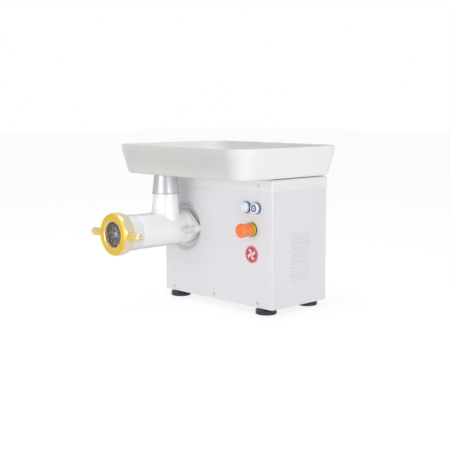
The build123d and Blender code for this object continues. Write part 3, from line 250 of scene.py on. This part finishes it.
# a band's entries are the axis, where it starts, where it is full, and its colour
finishes = {
    "powderWhite": {
        "color": (0.79, 0.785, 0.82), "tint": (0.775, 0.77, 0.805), "mottle": 6,
        "rough": (0.34, 0.44), "grain": 900, "depth": 0.00012, "bump": 0.35, "smear": 40,
        "coat": 0.5, "coatRough": 0.22,
        # painted highlight: the rims of the louvre hoods standing out past each side of the casing are
        # painted white, and past the rim the hood's face goes back to a slightly darker blue-grey
        "band": (
            ("X", 0.2360, 0.2361, (1.0, 1.0, 1.0)),
            ("X", 0.2377, 0.2380, (0.765, 0.77, 0.815)),
            ("X", -0.2052, -0.2053, (1.0, 1.0, 1.0)),
            ("X", -0.2069, -0.2072, (0.765, 0.77, 0.815)),
        ),
    },
    "coverWhite": {
        "color": (0.84, 0.835, 0.84), "tint": (0.82, 0.815, 0.82), "mottle": 5,
        "rough": (0.30, 0.42), "grain": 800, "depth": 0.0001, "bump": 0.3, "smear": 30,
    },
    "trayWhite": {
        "color": (0.88, 0.88, 0.88), "tint": (0.86, 0.86, 0.86), "mottle": 4,
        "rough": (0.50, 0.62), "grain": 450, "depth": 0.0001, "bump": 0.25, "smear": 22,
        "specular": 0.3,
    },
    "castHead": {
        "color": (0.97, 0.97, 0.975), "tint": (0.90, 0.90, 0.91), "mottle": 16,
        "rough": (0.42, 0.56), "metal": 0.30, "grain": 1100, "depth": 0.00022, "bump": 0.5,
        # edge and edgeFrom paint shade on the head where its surface turns away from the eye
        "smear": 90, "grainDetail": 4, "edge": (0.50, 0.51, 0.55), "edgeFrom": (0.55, 0.98),
        "band": (
            ("Y", -0.1885, -0.1890, (0.60, 0.60, 0.62)),
            ("Y", -0.1897, -0.1902, (0.84, 0.84, 0.86)),
        ),
    },
    "castDish": {
        "color": (0.86, 0.86, 0.86), "tint": (0.78, 0.78, 0.78), "mottle": 18,
        "rough": (0.40, 0.54), "metal": 0.15, "grain": 900, "depth": 0.0002, "bump": 0.5,
        "smear": 80,
    },
    "polished": {
        "color": (0.70, 0.70, 0.72), "tint": (0.56, 0.56, 0.59), "mottle": 14,
        "rough": (0.30, 0.42), "metal": 0.55, "grain": 240, "depth": 0.00006, "bump": 0.4,
        # edge and edgeFrom paint a dark reflection on the collar where its surface turns away from the eye
        "stretch": (1, 1, 0.12), "smear": 60, "edge": (0.10, 0.10, 0.12),
        "edgeFrom": (0.62, 0.97),
    },
    "brass": {
        "color": (0.94, 0.64, 0.075), "tint": (0.88, 0.57, 0.055), "mottle": 20,
        "rough": (0.36, 0.48), "metal": 0.75, "grain": 700, "depth": 0.0002, "bump": 0.4,
        "smear": 120, "grainDetail": 4,
    },
    "groundSteel": {
        "color": (0.42, 0.42, 0.43), "tint": (0.12, 0.12, 0.13), "mottle": 190,
        "rough": (0.14, 0.36), "metal": 0.9, "grain": 420, "depth": 0.00035, "bump": 0.9,
        "smear": 300, "speck": 260, "speckColor": (0.95, 0.95, 0.96),
    },
    "brightSteel": {
        "color": (0.74, 0.74, 0.75), "tint": (0.62, 0.62, 0.63), "mottle": 60,
        "rough": (0.22, 0.34), "metal": 0.9, "grain": 900, "depth": 0.00006, "bump": 0.4,
        # edge and edgeFrom paint a dark reflection on the bright steel where its surface turns away from the
        # eye
        "smear": 200, "edge": (0.10, 0.10, 0.12), "edgeFrom": (0.50, 0.90),
    },
    "satinZinc": {
        "color": (0.86, 0.87, 0.88), "tint": (0.76, 0.77, 0.79), "mottle": 80,
        "rough": (0.34, 0.46), "metal": 0.45, "grain": 800, "depth": 0.0001, "bump": 0.4,
        "smear": 150,
    },
    "zincSteel": {
        "color": (0.52, 0.53, 0.54), "tint": (0.40, 0.41, 0.43), "mottle": 70,
        "rough": (0.30, 0.48), "metal": 0.9, "grain": 600, "depth": 0.0001, "bump": 0.4,
        "smear": 150,
    },
    "bearingSteel": {
        "color": (0.58, 0.58, 0.60), "tint": (0.50, 0.50, 0.52), "mottle": 90,
        "rough": (0.12, 0.22), "metal": 1.0, "grain": 900, "depth": 0.00003, "bump": 0.3,
        "smear": 200,
    },
    "feedIron": {
        "color": (0.66, 0.66, 0.67), "tint": (0.54, 0.54, 0.56), "mottle": 45,
        "rough": (0.30, 0.46), "metal": 0.9, "grain": 800, "depth": 0.0002, "bump": 0.5,
        "smear": 150,
    },
    "greyPaint": {
        "color": (0.22, 0.25, 0.27), "tint": (0.17, 0.20, 0.22), "mottle": 25,
        "rough": (0.42, 0.60), "grain": 700, "depth": 0.0003, "bump": 0.6, "smear": 120,
        "grainDetail": 4,
    },
    "bronze": {
        "color": (0.62, 0.38, 0.14), "tint": (0.50, 0.29, 0.10), "mottle": 60,
        "rough": (0.25, 0.42), "metal": 1.0, "grain": 900, "depth": 0.00008, "bump": 0.4,
        "smear": 150,
    },
    "copper": {
        "color": (0.52, 0.20, 0.07), "tint": (0.40, 0.14, 0.05), "mottle": 90,
        "rough": (0.28, 0.42), "metal": 0.8, "grain": 1100, "depth": 0.0004, "bump": 0.8,
        "stretch": (1, 0.3, 0.3), "smear": 200,
    },
    "laminated": {
        "color": (0.26, 0.27, 0.29), "tint": (0.18, 0.19, 0.20), "mottle": 120,
        "rough": (0.35, 0.55), "metal": 0.9, "grain": 1500, "depth": 0.0002, "bump": 0.7,
        "stretch": (1, 0.02, 0.02), "smear": 200,
    },
    "footRubber": {
        "color": (0.006, 0.010, 0.020), "tint": (0.014, 0.022, 0.042), "mottle": 55,
        "rough": (0.24, 0.38), "grain": 420, "depth": 0.0002, "bump": 0.5, "smear": 120,
        "coat": 0.35,
    },
    "blackPlastic": {
        "color": (0.018, 0.019, 0.022), "tint": (0.030, 0.031, 0.034), "mottle": 60,
        "rough": (0.34, 0.50), "grain": 1200, "depth": 0.0001, "bump": 0.4, "smear": 120,
    },
    "greyPlastic": {
        "color": (0.36, 0.37, 0.38), "tint": (0.30, 0.31, 0.32), "mottle": 40,
        "rough": (0.40, 0.55), "grain": 1000, "depth": 0.00012, "bump": 0.4, "smear": 100,
    },
    "buttonWhite": {
        "color": (0.84, 0.90, 0.99), "tint": (0.76, 0.84, 0.96), "mottle": 60,
        "rough": (0.16, 0.28), "grain": 700, "depth": 0.00004, "bump": 0.3, "coat": 0.5,
        "smear": 150,
    },
    "buttonBlue": {
        "color": (0.045, 0.10, 0.24), "tint": (0.07, 0.14, 0.30), "mottle": 90,
        "rough": (0.22, 0.36), "grain": 900, "depth": 0.00005, "bump": 0.3, "coat": 0.4,
        "smear": 200,
    },
    "stopOrange": {
        "color": (0.95, 0.19, 0.035), "tint": (0.98, 0.26, 0.06), "mottle": 40,
        "rough": (0.24, 0.36), "grain": 800, "depth": 0.00006, "bump": 0.3, "coat": 0.3,
        "smear": 120,
    },
    "stopYellow": {
        "color": (0.80, 0.56, 0.03), "tint": (0.74, 0.50, 0.02), "mottle": 60,
        "rough": (0.26, 0.40), "grain": 900, "depth": 0.00006, "bump": 0.3, "smear": 120,
    },
    "badgeRed": {
        "color": (0.66, 0.025, 0.055), "tint": (0.58, 0.018, 0.045), "mottle": 70,
        "rough": (0.18, 0.30), "grain": 900, "depth": 0.00004, "bump": 0.3, "coat": 0.5,
        "smear": 140,
    },
    "badgeWhite": {
        "color": (0.84, 0.80, 0.81), "tint": (0.80, 0.75, 0.76), "mottle": 70,
        "rough": (0.24, 0.36), "grain": 900, "depth": 0.00004, "bump": 0.3, "smear": 140,
    },
    "sealRubber": {
        "color": (0.03, 0.028, 0.026), "tint": (0.045, 0.042, 0.04), "mottle": 50,
        "rough": (0.45, 0.62), "grain": 1000, "depth": 0.0001, "bump": 0.5, "smear": 90,
    },
}
materials = {name: makeFinish(name, look) for name, look in finishes.items()}

finishOf = {
    "powderWhite": ("body_shell", "rear_panel"),
    "coverWhite": ("top_cover",),
    "trayWhite": ("feed_tray",),
    "castHead": ("grinder_head",),
    "castDish": ("head_socket",),
    "polished": ("tray_collar",),
    "brass": ("ring_nut",),
    "groundSteel": ("grinder_plate", "knife", "wheel_key", "plate_pin", "control_springs"),
    "brightSteel": ("casing_screws", "rotor_shaft"),
    "satinZinc": ("head_studs", "clamp_washer_left", "clamp_washer_right", "wing_nut_left", "wing_nut_right"),
    "zincSteel": ("base_plate", "foot_screws", "frame_bolts", "gearbox_cover_bolts", "lock_nuts",
                  "motor_cradle"),
    "bearingSteel": ("bearing_outer_rings", "output_bearing_inners", "rotor_bearing_inners", "output_shaft"),
    "feedIron": ("auger",),
    "greyPaint": ("gearbox_housing", "gearbox_cover", "worm_end_cap", "motor_frame", "drive_end_shield",
                  "fan_end_shield"),
    "bronze": ("worm_wheel", "head_bush"),
    "copper": ("stator_windings",),
    "laminated": ("stator_core", "rotor_core"),
    "footRubber": ("rubber_feet",),
    "blackPlastic": ("cable_gland", "contact_blocks", "stop_base", "stop_plunger", "cooling_fan"),
    "greyPlastic": ("fan_cowl", "terminal_box", "run_capacitor", "contactor"),
    "buttonWhite": ("start_button", "reverse_button"),
    "buttonBlue": ("button_bezels",),
    "stopOrange": ("stop_cap",),
    "stopYellow": ("stop_collar",),
    "badgeRed": ("badge",),
    "sealRubber": ("shaft_seal", "tray_rests"),
}
for finish, members in finishOf.items():
    for member in members:
        mesh = nodes[member].data
        mesh.materials.clear()
        mesh.materials.append(materials[finish])
print("finishes ready:", len(materials))

# ---- surfaces: every new piece is built from profiles carried round or along something

def softened(corners, reach, steps=6):
    # Polyline with each inner corner swapped for a short quadratic curve.
    corners = np.asarray(corners, float)
    rows = [corners[:1]]
    t = np.linspace(0, 1, steps + 1)[:, None]
    for before, at, after in zip(corners[:-2], corners[1:-1], corners[2:]):
        back, ahead = before - at, after - at
        backLength, aheadLength = np.linalg.norm(back), np.linalg.norm(ahead)
        cut = min(reach, 0.45 * backLength, 0.45 * aheadLength)
        start, end = at + back / backLength * cut, at + ahead / aheadLength * cut
        rows.append((1 - t) ** 2 * start + 2 * t * (1 - t) * at + t ** 2 * end)
    rows.append(corners[-1:])
    return np.concatenate(rows)


def gridFaces(rows, columns, closedRows=False):
    # Quads of a grid whose columns close on themselves.
    across = np.arange(columns)
    following = (across + 1) % columns
    count = rows if closedRows else rows - 1
    here = np.arange(count)[:, None] * columns
    below = ((np.arange(count) + 1) % rows)[:, None] * columns
    return np.stack([here + across, here + following, below + following, below + across], -1).reshape(-1, 4)


def capFaces(rows, columns):
    # The same with one point at each end of the rows in place of a ring.
    quads = gridFaces(rows, columns)
    across = np.arange(columns)
    following = (across + 1) % columns
    first, last = rows * columns, rows * columns + 1
    low = np.stack([np.full(columns, first), following, across], -1)
    base = (rows - 1) * columns
    high = np.stack([np.full(columns, last), base + across, base + following], -1)
    return quads, np.concatenate([low, high])


def volumeOf(points, quads, tris):
    # Six times the enclosed volume; it is negative when the faces point inwards.
    faces = np.concatenate([quads[:, [0, 1, 2]], quads[:, [0, 2, 3]], tris])
    a, b, c = points[faces[:, 0]], points[faces[:, 1]], points[faces[:, 2]]
    return np.einsum("ij,ij->i", a - points.mean(0), np.cross(b - points.mean(0), c - points.mean(0))).sum()


noTris = np.zeros((0, 3), int)


def spun(profile, columns, wobble=0.0, lobes=2):
    # Points of a (radius, height) profile turned about Z; ends on the axis become single points.
    # The radius swells and shrinks by the share wobble, lobes times round.
    profile = np.asarray(profile, float)
    closesOnAxis = profile[0, 0] < 1e-9
    ring = profile[1:-1] if closesOnAxis else profile
    angle = np.arange(columns) / columns * 2 * np.pi
    radius = ring[:, :1] * (1 + wobble * np.sin(lobes * angle))
    points = np.stack([radius * np.cos(angle), radius * np.sin(angle),
                       np.broadcast_to(ring[:, 1:], radius.shape)], -1).reshape(-1, 3)
    if closesOnAxis:
        ends = np.array([[0, 0, profile[0, 1]], [0, 0, profile[-1, 1]]])
        quads, tris = capFaces(len(ring), columns)
        return np.concatenate([points, ends]), quads, tris
    return points, gridFaces(len(ring), columns, closedRows=True), noTris


def outward(points, place):
    # Upright piece laid so that its height points out of the casing's front, along -Y.
    return np.stack([points[:, 0], -points[:, 2], points[:, 1]], -1) + place


def makePiece(name, parts, finish, stands, body):
    # parts: (points, quads, tris, ink) groups in metres; ink is the share of the second colour.
    pointSets, faceSets, inkSets, base = [], [], [], 0
    for points, quads, tris, ink in parts:
        if volumeOf(points, quads, tris) < 0:
            quads, tris = quads[:, ::-1], tris[:, ::-1]
        pointSets.append(points)
        faceSets += (quads + base).tolist() + (tris + base).tolist()
        inkSets.append(np.broadcast_to(ink, len(points)))
        base += len(points)
    mesh = bpy.data.meshes.new(name)
    mesh.from_pydata(np.concatenate(pointSets).tolist(), [], faceSets)
    mesh.polygons.foreach_set("use_smooth", np.ones(len(mesh.polygons), bool))
    layer = mesh.attributes.new("ink", "FLOAT", "POINT")
    layer.data.foreach_set("value", np.concatenate(inkSets).astype(np.float32))
    mesh.materials.append(finish)
    mesh.update()
    piece = bpy.data.objects.new(name, mesh)
    scene.collection.objects.link(piece)
    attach(piece, body)
    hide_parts(*stands)


def inkedFinish(name, look, inkColor, inkRough):
    # A finish whose colour and roughness turn to a second set where the ink attribute is 1.
    mat = makeFinish(name, look)
    tree = mat.node_tree
    shader = tree.nodes["Principled BSDF"]
    ink = tree.nodes.new("ShaderNodeAttribute")
    ink.attribute_name = "ink"
    stain = tree.nodes.new("ShaderNodeTexNoise")
    stain.inputs["Scale"].default_value = look["mottle"] * 2
    spot = [node for node in tree.nodes if node.type == "TEX_COORD"][0]
    tree.links.new(spot.outputs["Object"], stain.inputs["Vector"])
    shade = tree.nodes.new("ShaderNodeMix")
    shade.data_type = "RGBA"
    shade.inputs["A"].default_value = tuple(inkColor) + (1,)
    shade.inputs["B"].default_value = tuple(np.array(inkColor) * 0.86) + (1,)
    tree.links.new(stain.outputs["Fac"], shade.inputs["Factor"])
    for socket, second in (("Base Color", shade.outputs["Result"]), ("Roughness", None)):
        source = shader.inputs[socket].links[0].from_socket
        mix = tree.nodes.new("ShaderNodeMix")
        mix.data_type = "RGBA" if second else "FLOAT"
        tree.links.new(ink.outputs["Fac"], mix.inputs["Factor"])
        inputs = [port for port in mix.inputs if port.enabled and port.name in ("A", "B")]
        output = [port for port in mix.outputs if port.enabled][0]
        tree.links.new(source, inputs[0])
        if second:
            tree.links.new(second, inputs[1])
        else:
            inputs[1].default_value = inkRough
        tree.links.new(output, shader.inputs[socket])
    return mat


# ---- feed tray: one closed section carried round a blend of the hole's circle and the rim's outline

tray = {
    "corner": 0.064, "flare": 0.019, "straight": 0.016, "wall": 0.0025, "foot": 0.008,
    "holeRadius": 0.03017, "rimRoll": 0.00125, "bow": 0.0006, "leastCorner": 0.004,
    "columns": 240, "fan": 1600, "floorRows": 14, "bendRows": 9, "wallRows": 20,
    # grey and the entries after it set the painted shade on the front and back walls
    "grey": (0.66, 0.66, 0.645), "paintedShadeRough": 0.42, "paintedShadeFrom": 0.78, "paintedShadeOver": 0.17, "paintedShadeEnds": 0.24,
}


def buildTray():
    low, high = corners("feed_tray")
    centre = (low + high) / 2
    half = (high - low)[:2] / 2
    height = high[2] - low[2]
    hole = middle("tray_collar")[:2]
    angle = np.arange(tray["columns"]) / tray["columns"] * 2 * np.pi
    slope = height - tray["straight"]

    def outline(inset, radius):
        # rounded rectangle met by a ray fan whose ends are evened out round its edge
        box = half - inset
        corner = max(radius, tray["leastCorner"])
        spread = np.arange(tray["fan"]) / tray["fan"] * 2 * np.pi
        core = box - corner
        raw = np.stack([np.cos(spread), np.sin(spread)], -1)
        edge = np.sign(raw) * core + raw * corner
        steps = np.linalg.norm(np.diff(edge, axis=0, append=edge[:1]), axis=1)
        run = np.concatenate([[0], np.cumsum(steps)])
        edge = np.concatenate([edge, edge[:1]])
        want = angle / (2 * np.pi) * run[-1]
        return np.stack([np.interp(want, run, edge[:, 0]), np.interp(want, run, edge[:, 1])], -1)

    def wallRow(depth, z):
        # outline at a height: flared below the upright band, with a faint bow between the corners
        rise = np.clip((slope - z) / slope, 0, 1)
        sag = tray["bow"] * math.sin(math.pi * np.clip(z / height, 0, 1))
        inset = depth + tray["flare"] * rise + sag
        shape = outline(inset, tray["corner"] - depth - tray["flare"] * rise)
        return np.concatenate([centre[:2] + shape, np.full((len(shape), 1), low[2] + z)], 1)

    foot, wall, roll = tray["foot"], tray["wall"], tray["rimRoll"]
    bend = np.linspace(0, np.pi / 2, tray["bendRows"])[1:]
    rows = []
    outerFoot = wallRow(foot, 0.0)
    circle = np.stack([hole[0] + tray["holeRadius"] * np.cos(angle),
                       hole[1] + tray["holeRadius"] * np.sin(angle), np.full(len(angle), low[2])], -1)
    mix = np.linspace(0, 1, tray["floorRows"])[:, None, None]
    rows += list((1 - mix) * circle + mix * outerFoot)                  # underside, hole to foot
    for a in bend:                                                      # outer foot curve
        rows.append(wallRow(foot * (1 - math.sin(a)), foot * (1 - math.cos(a))))
    for z in np.linspace(foot, height - roll, tray["wallRows"])[1:]:    # outer wall
        rows.append(wallRow(0.0, z))
    for a in np.linspace(0, np.pi, tray["bendRows"])[1:]:               # rolled rim
        rows.append(wallRow(roll * (1 - math.cos(a)), height - roll + roll * math.sin(a)))
    inner = foot - wall
    for z in np.linspace(height - roll, wall + inner, tray["wallRows"])[1:]:    # inner wall
        rows.append(wallRow(wall, z))
    for a in bend:                                                      # inner foot curve
        rows.append(wallRow(wall + inner * (1 - math.cos(a)), wall + inner * (1 - math.sin(a))))
    top = circle + (0, 0, wall)
    rows += list((1 - mix[::-1]) * top + mix[::-1] * rows[-1])[1:]      # floor, foot to hole
    points = np.concatenate(rows)
    quads = gridFaces(len(rows), tray["columns"], closedRows=True)
    # painted shade: the moulding is painted greyer towards the front and back walls, where less light falls,
    # fading out towards the ends
    facing = np.abs(points[:, 1] - centre[1]) / half[1]
    along = np.abs(points[:, 0] - centre[0]) / half[0]
    ink = np.clip((facing - tray["paintedShadeFrom"]) / tray["paintedShadeOver"], 0, 1)
    ink = ink * np.clip((1.0 - along) / tray["paintedShadeEnds"], 0, 1)
    shaded = inkedFinish("trayPaintedShade", finishes["trayWhite"], tray["grey"], tray["paintedShadeRough"])
    makePiece("feedTray", [(points, quads, noTris, ink)], shaded, ["feed_tray"], "tray")


buildTray()
print("tray built")


# ---- ring nut: golden face, paler sides from a painted sheen, two pegs

ring = {
    "open": 0.0355, "outer": 0.059, "width": 0.035, "lip": 0.012, "thread": 0.0483,
    "bevel": 0.0021, "mouthBevel": 0.0028, "face": 0.0525, "brow": 0.0572,
    "flank": (0.0085, 0.0238), "heel": (0.0258, 0.0338), "heelIn": (0.0021, 0.0026, 0.0040),
    "peg": (0.0101, 0.0118), "pegStart": 0.045, "pegNeck": 0.070, "pegReach": 0.1047, "pegBack": 0.015,
    "pegSwell": 0.012, "rounding": 0.0013, "pegRounding": 0.0024, "columns": 180, "pegColumns": 64,
    "paintedSheen": (0.97, 0.86, 0.60), "paintedSheenRough": 0.30,
}


def buildRing():
    low, high = corners("ring_nut")
    centre = np.array([(low[0] + high[0]) / 2, low[1], (low[2] + high[2]) / 2])
    # heights run from the front face, back into the machine as negative
    bevel, opening, outer = ring["bevel"], ring["open"], ring["outer"]
    front, back = ring["flank"]
    heel, sole = ring["heel"]
    first, second, third = ring["heelIn"]
    loop = [(opening, -bevel), (opening + ring["mouthBevel"], 0.0), (ring["face"], 0.0),
            (ring["brow"], -bevel), (outer, -front), (outer, -back), (outer - first, -heel),
            (outer - second, -sole), (outer - third, -ring["width"]), (ring["thread"], -ring["width"]),
            (ring["thread"], -ring["lip"]), (opening, -ring["lip"])]
    loop.append(((loop[-1][0] + loop[0][0]) / 2, (loop[-1][1] + loop[0][1]) / 2))
    loop = [loop[-1]] + loop
    profile = softened(loop, ring["rounding"])[:-1]
    points, quads, tris = spun(profile, ring["columns"])
    radius = np.hypot(points[:, 0], points[:, 1])
    depth = points[:, 2]
    # painted sheen: the side, the mouth's bevel and the mouth's wall are painted pale where they catch the
    # light; gold on the face
    side = np.clip((-depth - 0.0012) / 0.004, 0, 1) * (radius > opening + 0.012)
    chamfer = ((radius < opening + 0.0030) & (depth > -0.0035)) * 0.85
    wall = ((radius < opening + 0.0008) & (depth <= -0.0035)) * 0.7
    ink = np.maximum(np.maximum(side, chamfer), wall)
    parts = [(outward(points, centre), quads, tris, ink)]
    thin, thick = ring["peg"]
    start, neck, reach = ring["pegStart"], ring["pegNeck"], ring["pegReach"]
    arm = softened([(0, start), (thin, start), (thin, neck), (thick - 0.0004, reach - 0.010),
                    (thick, reach - 0.0040), (thick - 0.0030, reach), (0, reach)], ring["pegRounding"])
    post, pegQuads, pegTris = spun(arm, ring["pegColumns"], ring["pegSwell"])
    for way in (-1, 1):
        peg = np.stack([way * post[:, 2], -post[:, 0], post[:, 1]], -1)
        peg = peg + centre + (0, ring["pegBack"], 0)
        # the pegs take part of the same painted sheen, more of it towards their ends
        tone = 0.25 + 0.45 * np.clip((post[:, 2] - neck) / 0.03, 0, 1)
        parts.append((peg, pegQuads, pegTris, tone))
    brass = inkedFinish("ringBrass", finishes["brass"], ring["paintedSheen"], ring["paintedSheenRough"])
    makePiece("ringNut", parts, brass, ["ring_nut"], "ring")


buildRing()
print("ring nut built")


# ---- push buttons, emergency stop and badge

def frontPlace(node):
    # middle of a control seen from the front, on the casing's face
    at = middle(node)
    at[1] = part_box("body_shell")[0][1]
    return at


controls = {
    "radius": 0.0146, "out": 0.0134, "low": 0.0047, "rounding": 0.0022,
    "navy": (0.035, 0.085, 0.22), "navyRough": 0.25,
    "capRadius": 0.0195, "skirt": 0.0170, "stopOut": 0.0475, "stopLow": 0.0082, "stopStep": 0.0155,
    "stopRounding": 0.0034, "grooves": 24, "grooveShare": 0.010,
    "badgeRadius": 0.0235, "badgeOut": 0.0012, "badgeInkRough": 0.30, "arms": 4, "dashes": 20,
}


def buildButtons():
    out, low, radius = controls["out"], controls["low"], controls["radius"]
    boot = softened([(0, low), (radius - 0.0002, low), (radius, low + 0.0012),
                     (radius - 0.0006, out - 0.0040), (radius - 0.0030, out - 0.0012),
                     (radius * 0.45, out - 0.0002), (0, out)],
                    controls["rounding"], 7)
    white = inkedFinish("buttonSkin", finishes["buttonWhite"], controls["navy"], controls["navyRough"])
    points, quads, tris = spun(boot, 72)
    rim = np.clip((np.hypot(points[:, 0], points[:, 1]) - radius * 0.93) / (radius * 0.06), 0, 1)
    ink = 0.35 * rim * (points[:, 2] < low + 0.0035)
    makePiece("startButton", [(outward(points, frontPlace("start_button")), quads, tris, ink)], white,
              ["start_button"], "start")
    # the second button is flatter, with a raised ring and a sunk middle
    shoulder = radius - np.array([0.0018, 0.0008, 0.0002, 0.0, 0.0])
    radii = np.concatenate([np.linspace(0, radius - 0.0025, 60), shoulder])
    share = radii / radius
    swell = 0.0008 * np.exp(-((share - 0.50) / 0.09) ** 2) - 0.0009 * np.exp(-(share / 0.22) ** 2)
    height = out - 0.0012 + swell
    height[-5:] = out - np.array([0.0014, 0.0020, 0.0032, 0.0050, 0.0060])
    face = np.stack([radii, height], -1)[::-1]
    profile = np.concatenate([[(0, low), (radius - 0.0004, low), (radius, low + 0.0008)], face])
    points, quads, tris = spun(profile, 96)
    spread = np.hypot(points[:, 0], points[:, 1]) / radius
    front = points[:, 2] > out - 0.0026
    band = np.exp(-((spread - 0.53) / 0.17) ** 4)
    dot = np.exp(-(spread / 0.21) ** 4)
    ink = np.clip(band + dot, 0, 1) * front
    makePiece("reverseButton", [(outward(points, frontPlace("reverse_button")), quads, tris, ink)], white,
              ["reverse_button"], "reverse")


def buildStop():
    out, low = controls["stopOut"], controls["stopLow"]
    big, skirt = controls["capRadius"], controls["skirt"]
    step = controls["stopStep"]
    cap = softened([(0, low), (skirt, low), (skirt, step), (big - 0.0012, step + 0.0010),
                    (big - 0.0012, out - 0.0140), (big - 0.0002, out - 0.0110), (big - 0.0002, out - 0.0052),
                    (big - 0.0024, out - 0.0014), (big * 0.45, out - 0.0001), (0, out - 0.0006)],
                   controls["stopRounding"], 8)
    points, quads, tris = spun(cap, 120)
    # shallow finger grooves run along the skirt
    angle = np.arctan2(points[:, 1], points[:, 0])
    radius = np.hypot(points[:, 0], points[:, 1])
    groove = (radius > skirt * 1.01) & (points[:, 2] < out - 0.0150)
    ripple = 0.5 + 0.5 * np.cos(controls["grooves"] * angle)
    points[:, :2] *= (1 - controls["grooveShare"] * groove * ripple)[:, None]
    makePiece("stopCap", [(outward(points, frontPlace("stop_cap")), quads, tris, 0.0)],
              materials["stopOrange"], ["stop_cap"], "stop_head")


def buildBadge():
    radius, out = controls["badgeRadius"], controls["badgeOut"]
    radii = np.linspace(0, radius - 0.0006, 110)
    height = out - 0.00015 * (radii / radius) ** 2
    top = np.stack([radii, height], -1)[::-1]
    profile = np.concatenate([[(0, 0.0002), (radius - 0.0003, 0.0002), (radius, 0.0005),
                               (radius - 0.0002, out - 0.0003)], top])
    points, quads, tris = spun(profile, 220)
    x, z = points[:, 0] / radius, points[:, 1] / radius
    spread, angle = np.hypot(x, z), np.arctan2(z, x)
    # a broken pale ring near the edge, and a plain four-armed blade in the middle
    dashes = 0.5 + 0.5 * np.sign(np.cos(controls["dashes"] * angle))
    edge = (np.abs(spread - 0.87) < 0.030) * dashes
    sweep = np.cos(controls["arms"] * (angle - 0.9 * spread))
    blade = (spread < 0.66) & (sweep > 0.62 * spread - 0.12)
    hub = spread < 0.24
    bore = spread < 0.09
    ink = np.clip(edge + (blade | hub), 0, 1) * (1 - bore) * (points[:, 2] > out - 0.0004)
    pale = finishes["badgeWhite"]["color"]
    red = inkedFinish("badgeInk", finishes["badgeRed"], pale, controls["badgeInkRough"])
    makePiece("badgeDisc", [(outward(points, frontPlace("badge")), quads, tris, ink)], red, ["badge"], "root")


buildButtons()
buildStop()
buildBadge()
print("controls built")


# ---- rubber feet

feet = {
    "radius": 0.0295, "side": 0.0125, "top": 0.022, "sinkRadius": 0.009, "sink": 0.009, "hole": 0.0033,
    "grooveTop": 0.0086, "groove": 0.0074, "grooveLow": 0.0062, "draw": 0.0003, "rounding": 0.0009,
    "columns": 96,
}


def buildFeet():
    low, high = corners("rubber_feet")
    height = high[2] - low[2]
    radius = feet["radius"]
    hole, sink, skin = feet["hole"], feet["sinkRadius"], radius - feet["draw"]
    loop = [(hole, height - 0.004), (hole, height), (feet["top"], height),
            (feet["top"] + 0.0026, feet["side"] + 0.0018), (skin, feet["side"] - 0.0005),
            (skin, feet["grooveTop"]), (radius - 0.0016, feet["groove"]), (skin, feet["grooveLow"]),
            (radius - 0.0002, 0.0016), (radius - 0.0020, 0.0), (sink + 0.001, 0.0), (sink, 0.001),
            (sink, feet["sink"]), (hole, feet["sink"]), (hole, height - 0.004)]
    points, quads, tris = spun(softened(loop, feet["rounding"], 5)[:-1], feet["columns"])
    parts = []
    for x in (low[0] + radius, high[0] - radius):
        for y in (low[1] + radius, high[1] - radius):
            parts.append((points + (x, y, low[2]), quads, tris, 0.0))
    makePiece("rubberFeet", parts, materials["footRubber"], ["rubber_feet"], "root")


buildFeet()
print("feet built")
